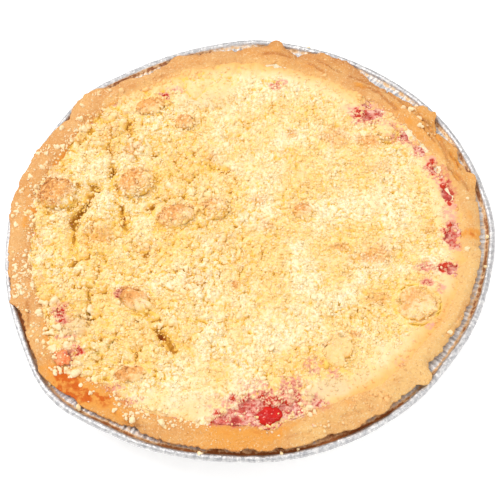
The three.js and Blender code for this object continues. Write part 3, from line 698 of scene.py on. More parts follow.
def ring_mesh(name, rings, **attributes):
    """A closed solid from equal rings of points, the first and last of which close on the axis.

    An attribute has one number per point, in one row or in a row per ring.
    """
    count = len(rings[0])
    points = np.concatenate([*rings, [rings[0].mean(axis=0), rings[-1].mean(axis=0)]])
    around = np.arange(count)
    after = (around + 1) % count
    quads = []
    for k in range(len(rings) - 1):
        a = k * count
        b = a + count
        quads.append(np.stack([a + around, b + around, b + after, a + after], axis=1))
    first = len(points) - 2
    last = len(points) - 1
    end = (len(rings) - 1) * count
    caps = np.concatenate([
        np.stack([np.full(count, first), around, after], axis=1),
        np.stack([end + around, np.full(count, last), end + after], axis=1),
    ])
    values = {key: np.concatenate([np.ravel(value), [0, 0]]) for key, value in attributes.items()}
    return new_mesh(name, points, [np.concatenate(quads), caps], **values)


def ring(r, t, z):
    return np.stack([*on_circle(r + 0 * t, t), z + 0 * t], axis=1)


ROUND_T = np.arange(ROUND) * 360.0 / ROUND


# ---- Materials ----
def srgb(r, g, b):
    """A colour of the 0 to 255 scale, made linear."""
    return tuple(((c / 255 + 0.055) / 1.055) ** 2.4 if c > 10 else c / 255 / 12.92 for c in (r, g, b))


class Shader:
    """Builds one procedural material. Its colour starts as a base and gets coats over it."""

    def __init__(self, name):
        self.material = bpy.data.materials.new(name)
        self.material.use_nodes = True
        self.nodes = self.material.node_tree.nodes
        self.links = self.material.node_tree.links
        self.surface = self.nodes["Principled BSDF"]
        self.place = self.nodes.new("ShaderNodeTexCoord").outputs["Object"]
        self.colour = None

    def put(self, socket, value):
        """Gives a socket a colour, a number or another node's output."""
        if isinstance(value, tuple):
            socket.default_value = (*value, 1.0)
        elif isinstance(value, (int, float)):
            socket.default_value = value
        else:
            self.links.new(value, socket)

    def value(self, name):
        node = self.nodes.new("ShaderNodeAttribute")
        node.attribute_name = name
        return node.outputs["Fac"]

    def noise(self, size_mm, detail=3.0, roughness=0.55):
        node = self.nodes.new("ShaderNodeTexNoise")
        node.inputs["Scale"].default_value = 1000.0 / size_mm
        node.inputs["Detail"].default_value = detail
        node.inputs["Roughness"].default_value = roughness
        self.links.new(self.place, node.inputs["Vector"])
        return node.outputs["Fac"]

    def cells(self, size_mm, bend_mm):
        """Distance to the nearest of scattered points, with the cells bent by noise."""
        wobble = self.nodes.new("ShaderNodeTexNoise")
        wobble.inputs["Scale"].default_value = 700.0 / size_mm
        self.links.new(self.place, wobble.inputs["Vector"])
        shift = self.nodes.new("ShaderNodeVectorMath")
        shift.operation = "MULTIPLY_ADD"
        shift.inputs[1].default_value = (2 * bend_mm * MM,) * 3
        self.links.new(wobble.outputs["Color"], shift.inputs[0])
        self.links.new(self.place, shift.inputs[2])
        node = self.nodes.new("ShaderNodeTexVoronoi")
        node.inputs["Scale"].default_value = 1000.0 / size_mm
        self.links.new(shift.outputs["Vector"], node.inputs["Vector"])
        return node.outputs["Distance"]

    def spokes(self, pitch_mm, radius_mm):
        """Noise in stripes that run out from the axis, about pitch_mm apart at that radius."""
        split = self.nodes.new("ShaderNodeSeparateXYZ")
        self.links.new(self.place, split.inputs[0])
        node = self.nodes.new("ShaderNodeTexNoise")
        node.noise_dimensions = "1D"
        node.inputs["Scale"].default_value = radius_mm / pitch_mm
        node.inputs["Detail"].default_value = 2.0
        self.links.new(self.maths("ARCTAN2", split.outputs["Y"], split.outputs["X"]), node.inputs["W"])
        return node.outputs["Fac"]

    def fit(self, value, low, high, to_low=0.0, to_high=1.0):
        node = self.nodes.new("ShaderNodeMapRange")
        node.interpolation_type = "SMOOTHSTEP"
        for key, number in (("From Min", low), ("From Max", high), ("To Min", to_low), ("To Max", to_high)):
            node.inputs[key].default_value = number
        self.links.new(value, node.inputs["Value"])
        return node.outputs["Result"]

    def maths(self, kind, a, b):
        node = self.nodes.new("ShaderNodeMath")
        node.operation = kind
        self.put(node.inputs[0], a)
        self.put(node.inputs[1], b)
        return node.outputs["Value"]

    def times(self, a, b):
        return self.maths("MULTIPLY", a, b)

    def plus(self, a, b):
        return self.maths("ADD", a, b)

    def minus(self, a, b):
        return self.maths("SUBTRACT", a, b)

    def patchy(self, name, pattern, *fit):
        """A mesh value made uneven by a pattern."""
        return self.times(self.value(name), self.fit(pattern, *fit))

    def base(self, share, low, high):
        """Starts the colour as one that runs from low to high."""
        self.colour = srgb(*low)
        self.coat(share, *high)

    def coat(self, strength, r, g, b):
        """Puts another colour over the one there is."""
        node = self.nodes.new("ShaderNodeMix")
        node.data_type = "RGBA"
        self.put(node.inputs["Factor"], strength)
        sockets = [s for s in node.inputs if s.type == "RGBA"]
        self.put(sockets[0], self.colour)
        self.put(sockets[1], srgb(r, g, b))
        self.colour = next(s for s in node.outputs if s.type == "RGBA")

    def bump(self, height, distance_mm, strength):
        node = self.nodes.new("ShaderNodeBump")
        node.inputs["Strength"].default_value = strength
        node.inputs["Distance"].default_value = distance_mm * MM
        self.links.new(height, node.inputs["Height"])
        self.links.new(node.outputs["Normal"], self.surface.inputs["Normal"])

    def finish(self, roughness, **settings):
        self.put(self.surface.inputs["Base Color"], self.colour)
        self.put(self.surface.inputs["Roughness"], roughness)
        for key, number in settings.items():
            self.surface.inputs[key.replace("_", " ")].default_value = number
        return self.material


def crumble_material(name, relief, scatter):
    """Crumble: relief is the height of its bumps in mm, scatter how much light passes below its surface."""
    s = Shader(name)
    plain = s.minus(1.0, s.value("smooth"))
    s.base(s.fit(s.plus(s.noise(5.0, 4.0), s.value("tone")), 0.6, 1.4), (255, 241, 206), (252, 214, 138))
    # Painted highlights: random pale flecks over the crumble.
    s.coat(s.times(s.fit(s.noise(1.1, 2.0), 0.4, 0.7), 0.5), 255, 247, 222)
    # Painted shade in the gaps between the grains and in small pits; the pits also dent the bump.
    grain = s.cells(1.25, 0.35)
    shaded_gaps = s.times(s.fit(grain, 0.42, 0.8, 0.0, 0.5), plain)
    shaded_pits = s.times(s.fit(s.noise(2.2, 2.0), 0.6, 0.69, 0.0, 0.9), s.fit(plain, 0.0, 1.0, 0.5, 1.0))
    s.coat(s.maths("MAXIMUM", shaded_gaps, shaded_pits), 248, 208, 124)
    s.coat(s.patchy("smooth", s.noise(4.0, 3.0), 0.3, 0.7, 0.65, 1.0), 246, 210, 150)
    s.coat(s.value("verge"), 246, 188, 114)
    # Painted shade in hollows, valleys, cracks and troughs: amber, then darker amber, then brown in the
    # deepest cracks.
    cavity = s.value("cavity")
    s.coat(s.fit(cavity, 0.05, 0.55, 0.0, 0.95), 246, 203, 100)
    s.coat(s.fit(cavity, 0.55, 1.0, 0.0, 0.95), 196, 138, 50)
    s.coat(s.fit(cavity, 1.05, 1.4, 0.0, 0.9), 146, 72, 32)
    s.coat(s.value("pale"), 237, 207, 161)
    toast = s.patchy("toast", s.noise(1.3, 4.0), 0.25, 0.7, 0.4, 1.3)
    s.coat(s.fit(toast, 0.0, 0.9), 230, 166, 98)
    s.coat(s.fit(toast, 0.8, 1.6, 0.0, 0.85), 192, 130, 80)
    stain = s.patchy("stain", s.noise(1.6, 4.0), 0.3, 0.62, 0.1, 1.5)
    s.coat(s.fit(stain, 0.08, 0.75), 236, 172, 148)
    s.coat(s.fit(stain, 0.75, 1.3), 200, 64, 44)
    grains = s.minus(s.noise(0.9, 3.0, 0.7), s.times(grain, s.fit(plain, 0.0, 1.0, 0.2, 1.0)))
    s.bump(s.minus(grains, shaded_pits), relief, 0.5)
    below = dict(Subsurface_Weight=scatter, Subsurface_Scale=0.001, Subsurface_Radius=(1.0, 0.8, 0.4))
    return s.finish(1.0, Specular_IOR_Level=0.0, **below)


def pastry_material():
    s = Shader("pastry")
    s.base(s.fit(s.plus(s.noise(6.0, 5.0), s.value("tone")), 0.6, 1.4), (242, 186, 120), (230, 162, 96))
    s.coat(s.fit(s.value("gold"), 0.0, 1.0, 0.0, 0.9), 243, 166, 76)
    brown = s.value("brown")
    s.coat(s.fit(brown, 0.0, 1.0), 208, 134, 72)
    s.coat(s.fit(s.value("pale"), 0.0, 1.0), 252, 204, 132)
    # A thin dark brown line along the pastry's outer edge.
    s.coat(s.fit(brown, 1.0, 1.5, 0.0, 0.9), 150, 84, 36)
    s.coat(s.fit(s.noise(0.9, 3.0, 0.75), 0.53, 0.68, 0.0, 0.75), 255, 228, 180)
    s.coat(s.fit(s.noise(1.2, 3.0, 0.75), 0.56, 0.72, 0.0, 0.65), 204, 122, 56)
    stain = s.patchy("stain", s.noise(2.0, 4.0), 0.3, 0.65, 0.2, 1.3)
    s.coat(s.fit(stain, 0.1, 1.1, 0.0, 0.8), 232, 130, 112)
    s.coat(s.fit(stain, 0.9, 1.4, 0.0, 0.9), 206, 78, 58)
    syrup = s.patchy("syrup", s.noise(2.5, 4.0), 0.3, 0.6, 0.5, 1.2)
    s.coat(s.fit(syrup, 0.05, 0.6), 246, 168, 76)
    s.coat(s.fit(syrup, 0.5, 1.15), 222, 104, 24)
    s.bump(s.plus(s.noise(0.7, 3.0, 0.75), s.noise(2.6, 4.0, 0.6)), 0.8, 1.0)
    return s.finish(s.fit(syrup, 0.2, 0.9, 0.85, 0.35), Specular_IOR_Level=0.2)


def fruit_material(name, dark, bright, pale, coat):
    s = Shader(name)
    s.base(s.fit(s.noise(3.0, 3.0), 0.3, 0.7), dark, bright)
    s.coat(s.patchy("pale", s.noise(1.4, 3.0), 0.35, 0.6), *pale)
    # Painted highlights: tiny pale glints.
    s.coat(s.fit(s.noise(0.9, 2.0), 0.66, 0.72), 250, 200, 176)
    s.bump(s.noise(1.3, 3.0, 0.6), 0.5, 0.7)
    gloss = s.fit(s.noise(2.0, 2.0), 0.3, 0.7, 0.1, 0.35)
    return s.finish(gloss, Specular_IOR_Level=0.3, Coat_Weight=coat, Coat_Roughness=0.12)


def foil_material():
    s = Shader("foil")
    s.base(s.fit(s.noise(3.0, 4.0, 0.7), 0.35, 0.65), (212, 210, 210), (244, 242, 240))
    s.coat(s.fit(s.noise(1.0, 3.0, 0.8), 0.56, 0.68, 0.0, 0.8), 150, 151, 157)
    # Painted shade in the valleys of the crimps.
    s.coat(s.fit(s.value("groove"), 0.3, 1.0, 0.0, 0.9), 112, 113, 120)
    crimped = s.value("crimped")
    # Painted shade: dark radial stripes over the crimped foil; the same stripes also shape its bump.
    stripes = s.spokes(1.5, 105.0)
    s.coat(s.times(crimped, s.fit(stripes, 0.44, 0.62, 0.0, 0.7)), 150, 151, 158)
    s.coat(s.patchy("rolled", s.noise(1.6, 3.0, 0.7), 0.4, 0.65, 0.1, 0.6), 146, 147, 153)
    # Brown patches beside the pastry, where the foil is also less metallic.
    burnt = s.fit(s.patchy("burnt", s.noise(2.0, 4.0), 0.35, 0.65, 0.6, 1.3), 0.0, 1.0)
    s.coat(s.fit(burnt, 0.0, 0.4), 230, 190, 142)
    s.coat(s.fit(burnt, 0.35, 0.9), 158, 94, 48)
    creases = s.plus(s.noise(5.0, 4.0, 0.6), s.times(s.noise(1.2, 3.0, 0.7), 0.7))
    s.bump(s.plus(creases, s.times(crimped, stripes)), 0.6, 0.8)
    duller = s.plus(s.times(burnt, 0.5), s.times(crimped, 0.3))
    s.put(s.surface.inputs["Metallic"], s.minus(0.85, duller))
    return s.finish(s.fit(s.noise(6.0, 2.0), 0.3, 0.7, 0.32, 0.5))


CRUMBLE_LOOK = crumble_material("crumble", 0.3, 0.3)
CRUMB_LOOK = crumble_material("crumbs", 0.12, 0.0)
PASTRY_LOOK = pastry_material()
FOIL_LOOK = foil_material()
FILLING_LOOK = fruit_material("fruit_filling", (170, 36, 28), (208, 74, 56), (238, 190, 166), 0.4)
RED_LOOK = fruit_material("fruit_red", (186, 4, 0), (212, 16, 0), (232, 90, 60), 0.1)
ORANGE_LOOK = fruit_material("fruit_orange", (228, 100, 46), (240, 138, 78), (246, 184, 124), 0.2)


def dress(piece, look, node):
    piece.data.materials.clear()
    piece.data.materials.append(look)
    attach(piece, "root")
    if node:
        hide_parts(node)


# ---- Tin ----
def build_tin():
    """The tin from the middle of its inside, up and round the bead, to the middle of its underside."""
    t = np.arange(4 * CRIMPS) * 90.0 / CRIMPS
    shift = tin_shift(t)
    fold = np.abs(np.arange(len(t)) % 4 - 2)
    strong = 0.45 + 0.55 * round_edge(t, 9.0, 71)
    crimp = 0.75 * strong * fold + 0.25 * round_edge(t, 1.4, 72)
    valley = np.clip((1 - 0.5 * fold) * (0.7 + 1.2 * round_edge(t, 2.0, 76)), 0, 1)
    nick = np.minimum(0.25 * round_edge(t, 3.0, 73), 0.08)
    brown_amount = along_circle(BROWN_ON_FOIL, t) * (1 + 0.9 * round_edge(t, 6.0, 75)) + 0.05
    seam = 0.75 + 0.5 * round_edge(t, 4.0, 77)
    rings, burnt, groove, crimped, rolled = [], [], [], [], []

    # dark sets the painted shade in the crimps' valleys.
    def add(r, z, brown=0.0, dark=0.0, brown_line=0.0, stripes=0.0, specks=0.0):
        rings.append(ring(r, t, z))
        burnt.append(np.clip(brown * brown_amount + brown_line * seam, 0, 1))
        groove.append(dark * valley)
        crimped.append(stripes + 0 * t)
        rolled.append(specks + 0 * t)

    add(TIN_CENTRE_R, FOIL)
    add(BASE_R - FOIL, FOIL)
    for z in (FOIL + BASE_CORNER, 10.0, 19.0, FLANGE_Z - 1):
        add(wall_r(z) - FOIL + wall_shift(t, z), z)
    for r in np.linspace(WALL_TOP_R - FOIL, FLANGE_END_R - FOIL, FLANGE_RINGS):
        share = (r - WALL_TOP_R + FOIL) / (FLANGE_END_R - WALL_TOP_R)
        fade = math.sin(math.pi * min(max(share, 0.06), 0.94)) ** 0.6
        z = FLANGE_Z + FLANGE_RISE * share + FOIL - 0.35 + crimp * fade
        last = share > 0.93
        add(r + shift, z, 0.9 if last else 0.4, 0.15, 0.38 if last else 0.02, 1.0)
    for k in range(BEAD_RINGS):
        turn = math.radians(165 - 330 * k / (BEAD_RINGS - 1))
        out, up = math.cos(turn), math.sin(turn)
        r = BEAD_CENTRE_R + (BEAD_R - 0.15) * out + shift + nick * out
        z = BEAD_Z + (BEAD_R - 0.15) * up + nick * up
        first = k == 0
        add(r, z, 0.7 if first else 0.0, 0.2, 0.3 if first else 0.0, 0.3, 0.0 if first else 1.0)
    for r in np.linspace(FLANGE_END_R, WALL_TOP_R + FOIL, 4):
        share = (r - WALL_TOP_R) / (FLANGE_END_R - WALL_TOP_R)
        add(r + shift, FLANGE_Z + FLANGE_RISE * share - FOIL + 0.5 * crimp * math.sin(math.pi * share))
    for z in (24.0, 17.0, 10.0, FOIL + BASE_CORNER):
        pleat = 0.5 * (crimp - 0.5) * smoothstep(z, 4, 24)
        pleat += 0.3 * round_edge(t + z, 9.0, 74) * (z / FLANGE_Z)
        add(wall_r(z) + wall_shift(t, z) + pleat - 0.1, z, stripes=0.6)
    add(BASE_R + 0.2, 0.9)
    add(BASE_R - FOIL, 0.0)
    add(TIN_CENTRE_R, 0.0)
    piece = ring_mesh("tin_foil", rings, burnt=burnt, groove=groove, crimped=crimped, rolled=rolled)
    dress(piece, FOIL_LOOK, "foil_tin")


# ---- Pastry ----
def crust_top(t, out):
    """Height of the pastry's top at an angle, a share out of the way from lip to outer edge."""
    lip = looked_up(lip_r, t)
    edge = looked_up(crust_edge_r, t)
    lift = OVERHANG_RISE * overhang(edge - looked_up(tin_shift, t))
    crest_at = CREST_IN / (edge - lip)
    crest = CREST_Z + looked_up(crest_wander, t)
    end = EDGE_Z + 1.1 * lift
    inner = LIP_Z + (crest - LIP_Z) * np.sin(np.clip(out / crest_at, 0, 1) * math.pi / 2) ** 0.9
    fall = np.clip((out - crest_at) / (1 - crest_at), 0, 1)
    outer = crest + (end - crest) * (0.35 * fall + 0.65 * fall**2.2)
    return np.where(out < crest_at, inner, outer)


def crust_bumps(x, y, out):
    """The pastry's uneven surface, added to the height of its top."""
    flakes = np.clip(looked_up(flaky, angle_of(x, y)), 0, 1) * smoothstep(out, 0.4, 0.7)
    lumpy = 0.42 * rough(x, y, 9.0, 84) + 0.26 * rough(x, y, 3.0, 85) + 0.22 * rough(x, y, 1.3, 86)
    lumpy -= 0.9 * flakes * np.abs(rough(x, y, 2.6, 93))
    return lumpy * np.sin(math.pi * np.clip(out, 0.04, 0.93)) ** 0.5


def crust_folds(t, away, x, y):
    """The flakes' heights and the cracks' mask, at a distance out from the lip."""
    height = np.zeros_like(t)
    crack = np.zeros_like(t)
    for t0, t1, away0, away1, width, deep in FOLDS:
        share = np.clip((t - t0) / (t1 - t0), 0, 1)
        off = (away - away0 - (away1 - away0) * share + 0.5 * rough(x, y, 2.5, 80)) / width
        there = smoothstep(t, t0 - 1, t0 + 1) * (1 - smoothstep(t, t1 - 1, t1 + 1))
        height += deep * there * (0.6 * bell(off - 1.3) - bell(off))
        crack = np.maximum(crack, there * bell(off))
    return height, crack


def crust_glaze(t, away, x, y):
    """The syrup's mask, at a distance out from the lip."""
    glaze = np.zeros_like(t)
    for at, half, middle, spread, strength in SYRUP:
        near = (angle_from(at, t) / half) ** 2 + ((away - middle) / spread) ** 2
        glaze = np.maximum(glaze, strength * np.exp(-near * (1 + 0.9 * rough(x, y, 3.0, 87))))
    return glaze


def crust_masks(t, out, x, y, crack):
    """Where the pastry is darker, paler, browner, golden and stained, with painted shade in its cracks."""
    pale_rule = share_along(PALE, t)
    pale = 1 - smoothstep(out + 0.25 * rough(x, y, 8.0, 89), 0.02 + 0.06 * pale_rule, 0.25 + 0.4 * pale_rule)
    light = share_along(LIGHT, t) * (0.8 + 0.5 * rough(x, y, 6.0, 97))
    light *= 1 - 0.2 * smoothstep(out, 0.6, 0.95)
    rim = smoothstep(out, 0.5, 1.0) * (0.55 + 0.6 * rough(x, y, 7, 90)) * share_along(RIM_BROWN, t)
    burnt_edge = 1.6 * share_along(EDGE_DARKENED, t) * (0.7 + 0.9 * round_edge(t, 2.5, 91))
    # Painted shade: brown holds the rim's baked browning and also shade painted into the flakes' cracks.
    brown = np.clip(np.maximum(rim, 0.7 * crack), 0, 1)
    return {
        "tone": 0.5 + 0.5 * rough(x, y, 11.0, 88),
        "pale": np.clip(np.maximum(pale * (0.2 + 0.8 * pale_rule), light), 0, 1),
        "brown": np.maximum(brown, burnt_edge * smoothstep(out, 0.955, 0.985)),
        "gold": np.clip(along_circle(GOLDEN, t) + 0.5 * rough(x, y, 14, 92), 0, 1),
        "stain": read_map(stain_map, x, y),
    }


def build_crust():
    t = ROUND_T
    lip = lip_r(t) + (0.3 + 1.3 * gap_share(gap_depth(t))) * round_edge(t, 3.5, 81)
    chips = 1.6 * round_edge(t, 5.0, 82) + (1.1 + 1.2 * flaky(t)) * round_edge(t, 1.9, 83)
    edge = crust_edge_r(t) + np.minimum(chips, 0.3)
    bottom = FOIL + GAP
    rings = []

    def add(r, z):
        rings.append(ring(r, t, z))

    for r in (30.0, 60.0):
        add(r, bottom + CRUST_T)
    add(crust_inner_r(t, bottom + CRUST_T + 0.5) - 1, bottom + CRUST_T + 0.5)
    for z in (14.0, 27.0):
        add(crust_inner_r(t, z), z)
    inside = len(rings)
    masks = {key: [] for key in ("tone", "pale", "brown", "gold", "stain", "syrup")}
    for out in np.linspace(0, 1, CRUST_RINGS) ** 0.95:
        r = lip + (edge - lip) * out
        x, y = on_circle(r, t)
        folds, crack = crust_folds(t, r - lip, x, y)
        top = crust_top(t, out)
        add(r, np.minimum(top + crust_bumps(x, y, out) + folds, top + 0.75))
        for key, values in crust_masks(t, out, x, y, crack).items():
            masks[key].append(values)
        masks["syrup"].append(crust_glaze(t, r - lip, x, y))
    # The pastry's last ring and the faces below it are always somewhat brown.
    masks["brown"][-1] = np.maximum(masks["brown"][-1], 0.6)

    over = overhang(crust_edge_r(t) - tin_shift(t))
    lift = OVERHANG_RISE * over
    flange_top = FLANGE_Z + FLANGE_RISE + FOIL + 0.65
    bead_top = BEAD_Z + BEAD_R
    add(edge + 0.1, EDGE_Z - 0.5 + 1.15 * lift)
    add(edge - 0.1, EDGE_Z - 1.0 + 1.2 * lift)
    add(edge - 0.8, flange_top + (bead_top + GAP + 0.2 - flange_top) * over)
    add(np.minimum(edge - 2, 105.7 + tin_shift(t)), flange_top)
    add(WALL_TOP_R - FOIL - GAP + tin_shift(t) - 0.1, flange_top - 0.3)
    for z in (16.0, FOIL + BASE_CORNER + 0.6):
        add(wall_r(z) - FOIL - GAP - 0.3 + wall_shift(t, z), z)
    add(BASE_R - FOIL - GAP - 1, bottom)
    add(UNDER_CENTRE_R, bottom)
    below = len(rings) - inside - CRUST_RINGS
    values = {key: [0 * t] * inside + rows + [rows[-1]] * below for key, rows in masks.items()}
    dress(ring_mesh("pastry_crust", rings, **values), PASTRY_LOOK, "crust")


# ---- Filling ----
def filling_top(t, r):
    share = r / (lip_r(t) - GAP)
    return FILLING_Z + (FILLING_SHOWS_Z - FILLING_Z) * smoothstep(share, 0.8, 0.87)


def build_filling():
    t = ROUND_T[::2]
    end = lip_r(t) - GAP
    lumps = 0.9 * heap(bent_cells(3.4, 1.1, 241)[0], 2.4) + 0.2 * rough_map(1.6, 94)
    rings = []
    pale = []
    for share in [0.3, 0.7, 0.8, 0.83, *np.linspace(0.85, 1.008, FILLING_RINGS)]:
        r = end * share
        x, y = on_circle(r, t)
        shows = smoothstep(share, 0.84, 0.87) * smoothstep(r, crumble_r(t) - 4.0, crumble_r(t) - 2.0)
        rings.append(ring(r, t, filling_top(t, r) + shows * read_map(lumps, x, y)))
        red = np.maximum(read_map(stain_map, x, y) - 0.7, 0)
        light = 0.5 + 0.7 * read_map(lumps, x, y) + 0.6 * rough(x, y, 4.0, 95) - 1.3 * red
        pale.append(np.clip(light, 0, 1))
    rings.append(ring(end - 1.0, t, FILLING_SHOWS_Z - 0.6))
    for z in (27.0, 20.0, 8.2):
        rings.append(ring(crust_inner_r(t, z) - 3 * GAP, t, z))
    bottom = FOIL + GAP + CRUST_T + GAP
    rings.append(ring(crust_inner_r(t, bottom) - 2, t, bottom))
    rings.append(ring(UNDER_CENTRE_R, t, bottom))
    pale += [0 * t] * (len(rings) - len(pale))
    dress(ring_mesh("fruit_filling", rings, pale=pale), FILLING_LOOK, "filling")


# ---- Topping ----
def concentric(cells):
    """A square grid bent into a disc with even cells: each point's share of the radius, and its angle."""
    line = np.linspace(-1, 1, cells + 1)
    a, b = np.meshgrid(line, line)
    wide = np.abs(a) > np.abs(b)
    r = np.where(wide, a, b)
    with np.errstate(divide="ignore", invalid="ignore"):
        turn = np.where(wide, np.pi / 4 * b / a, np.pi / 2 - np.pi / 4 * a / b)
    turn = np.nan_to_num(turn)
    x, y = r * np.cos(turn), r * np.sin(turn)
    return np.hypot(x, y), angle_of(x, y)


def border(cells):
    """The grid's outline, in order."""
    n = cells + 1
    bottom = np.arange(n)
    right = np.arange(1, n) * n + n - 1
    top = (n - 1) * n + np.arange(n - 2, -1, -1)
    left = np.arange(n - 2, 0, -1) * n
    return np.concatenate([bottom, right, top, left])


def bed_reach(t):
    """How far out the topping runs, a little over the pastry's lip."""
    blend = edge_blend(t)
    wander = (4.2 - 2.2 * blend) * round_edge(t, 7.0, 101) + (2.4 - 1.2 * blend) * round_edge(t, 2.4, 104)
    reach = lip_r(t) - GAP + 1.0 + 3.6 * blend + wander * (1 - 0.7 * gap_share(gap_depth(t)))
    return np.maximum(reach, lip_r(t) + 0.5 + 0.8 * round_edge(t, 1.8, 110))


def bed_surface(x, y):
    """Height of the topping's bed, which thins out onto whatever is under its edge."""
    t = angle_of(x, y)
    r = np.hypot(x, y)
    lip = looked_up(lip_r, t)
    reach = looked_up(bed_reach, t)
    lowest = np.where(r > 0.84 * reach, CRUMBLE_FOOT_Z + 0.3, FILLING_Z + 2.0)
    z = np.maximum(read_map(bed_map, x, y), lowest)
    z = z + (read_map(thin_map, x, y) - z) * read_map(gap_map, x, y)
    under = crust_top(t, np.clip((r - lip) / (looked_up(crust_edge_r, t) - lip), 0, 1))
    fade = smoothstep(r, reach - 1.4 - 4.0 * looked_up(edge_blend, t), reach)
    z = z + (under - 0.3 - z) * fade
    for piece in LUMPS + FRUIT:
        z = np.where(in_ellipse(piece, x, y) < 0.9, np.minimum(z, foot_z(piece) - GAP), z)
    return z


def build_bed():
    share, t = concentric(BED_CELLS)
    x, y = on_circle(share * bed_reach(t), t)
    top = np.stack([x, y, bed_surface(x, y)], axis=-1).reshape(-1, 3)
    n = BED_CELLS + 1
    index = np.arange(n * n).reshape(n, n)
    corners = [index[:-1, :-1], index[:-1, 1:], index[1:, 1:], index[1:, :-1]]
    quads = np.stack(corners, axis=-1).reshape(-1, 4)
    rim = border(BED_CELLS)
    skirt = top[rim] - [0, 0, 0.5]
    inner = skirt * np.array([0.8, 0.8, 1.0])
    inner[:, 2] = FILLING_Z + 0.5
    points = np.concatenate([top, skirt, inner, [[0.0, 0.0, FILLING_Z + 1.0]]])
    low = len(top) + np.arange(len(rim))
    deep = low + len(rim)
    after = np.roll(np.arange(len(rim)), -1)
    walls = np.stack([rim, low, low[after], rim[after]], axis=1)
    floor = np.stack([low, deep, deep[after], low[after]], axis=1)
    cap = np.stack([deep, np.full(len(rim), len(points) - 1), deep[after]], axis=1)
    maps = {
        "cavity": painted_shade_map, "toast": toast_map, "stain": stained_map, "smooth": smooth_map,
        "verge": verge_map, "tone": tone_map, "pale": cream_map,
    }
    spare = np.zeros(len(points) - len(top))
    values = {key: np.concatenate([read_map(one, x, y).ravel(), spare]) for key, one in maps.items()}
    piece = new_mesh("crumble_bed", points, [np.concatenate([quads, walls, floor]), cap], **values)
    dress(piece, CRUMBLE_LOOK, "crumble")


# ---- Crumbs ----
def grain_shapes(many, seed):
    """A few angular grains of eight faces."""
    random = np.random.default_rng(seed)
    corners = np.array([[1, 0, 0], [0, 1, 0], [-1, 0, 0], [0, -1, 0], [0, 0, 1], [0, 0, -1]], dtype=float)
    faces = np.array([[a, (a + 1) % 4, 4] for a in range(4)] + [[(a + 1) % 4, a, 5] for a in range(4)])
    sizes = random.uniform(0.75, 1.2, (many, 6, 1))
    return corners * sizes + random.uniform(-0.2, 0.2, (many, 6, 3)), faces


def crumb_shapes(subdivisions, many, dents, seed):
    """A few knobbly crumbs, each the outline of some balls grown together."""
    random = np.random.default_rng(seed)
    bpy.ops.mesh.primitive_ico_sphere_add(subdivisions=subdivisions, radius=1.0)
    made = bpy.context.active_object
    points = np.array([v.co[:] for v in made.data.vertices])
    faces = np.array([p.vertices[:] for p in made.data.polygons])
    bpy.data.objects.remove(made, do_unlink=True)
    shapes = []
    for _ in range(many):
        centres = random.normal(size=(5, 3))
        centres *= KNOB_OUT / np.linalg.norm(centres, axis=1)[:, None]
        along = points @ centres.T
        knobs = along + np.sqrt(np.maximum(KNOB_SQUARE - KNOB_OUT**2 + along**2, 0.0))
        far = np.maximum(knobs.max(axis=1), 0.5) * (1 + dents * random.uniform(-1, 1, len(points)))
        shapes.append(points * far[:, None])
    return np.array(shapes), faces


def random_turns(random, count):
    """Rotations, one matrix each."""
    q = random.normal(size=(count, 4))
    w, x, y, z = (q / np.linalg.norm(q, axis=1)[:, None]).T
    rows = [
        [1 - 2 * (y * y + z * z), 2 * (x * y - w * z), 2 * (x * z + w * y)],
        [2 * (x * y + w * z), 1 - 2 * (x * x + z * z), 2 * (y * z - w * x)],
        [2 * (x * z - w * y), 2 * (y * z + w * x), 1 - 2 * (x * x + y * y)],
    ]
    return np.array(rows).transpose(2, 0, 1)


def place_crumbs(name, x, y, z, size, shapes, random, cavity=0.0, **values):
    """Crumbs of one kind as one mesh, with one number per crumb for each value."""
    base, faces = shapes
    count = len(x)
    flat = np.stack([np.ones(count), random.uniform(0.7, 1, count), random.uniform(0.6, 0.95, count)], 1)
    shaped = base[random.integers(len(base), size=count)] * (size[:, None] * flat)[:, None, :]
    points = np.einsum("nij,nvj->nvi", random_turns(random, count), shaped)
    points += np.stack([x, y, z], 1)[:, None, :]
    each = base.shape[1]
    ids = faces[None] + each * np.arange(count)[:, None, None]
    per_point = {key: np.repeat(value, each) for key, value in values.items()}
    # Painted shade on the lower side of each crumb.
    low = np.clip(LOW_SIDE - (points[:, :, 2] - z[:, None]) / size[:, None], 0, 1)
    per_point["cavity"] = np.clip(np.reshape(cavity, (-1, 1)) + UNDERSIDE_SHADE * low, 0, 1)
    piece = new_mesh(name, points.reshape(-1, 3), [ids.reshape(-1, 3)], **per_point)
    dress(piece, CRUMB_LOOK, None)


def scatter(name, count, low, high, shapes, seed, sink, spread):
    """Crumbs lying on the pie. The map spread gives how likely each place is."""
    random = np.random.default_rng(seed)
    tries = count * 5
    angle = random.uniform(0, 2 * math.pi, tries)
    far = CRUMBS_END_R * np.sqrt(random.uniform(0, 1, tries))
    x, y = far * np.cos(angle), far * np.sin(angle)
    kept = np.flatnonzero(random.uniform(0, 1, tries) < read_map(spread, x, y))[:count]
    x, y = x[kept], y[kept]

    def some(start, end):
        return random.uniform(start, end, len(kept))

    size = low + (high - low) * some(0, 1) ** 2.2
    z = np.minimum(read_map(top_map, x, y) + size * (0.5 - sink), TOP_LIMIT - 1.1 * size)
    inside = np.hypot(x, y) < looked_up(lip_r, angle_of(x, y)) + 1
    # The cavity value below is painted shade, stronger for crumbs lying in valleys.
    place_crumbs(
        name, x, y, z, size, shapes, random,
        tone=inside * (0.65 * read_map(tone_map, x, y) + 0.35 * some(0, 1)),
        toast=read_map(top_toast, x, y) * some(0.2, 1.1),
        stain=read_map(stained_map, x, y) * some(0.2, 1.0),
        cavity=read_map(valley_map, x, y) * some(0.1, 0.7),
        smooth=np.full(len(kept), 0.15),
        verge=read_map(verge_map, x, y),
        pale=np.where(inside, 0.8 * read_map(cream_map, x, y), 0.3),
    )


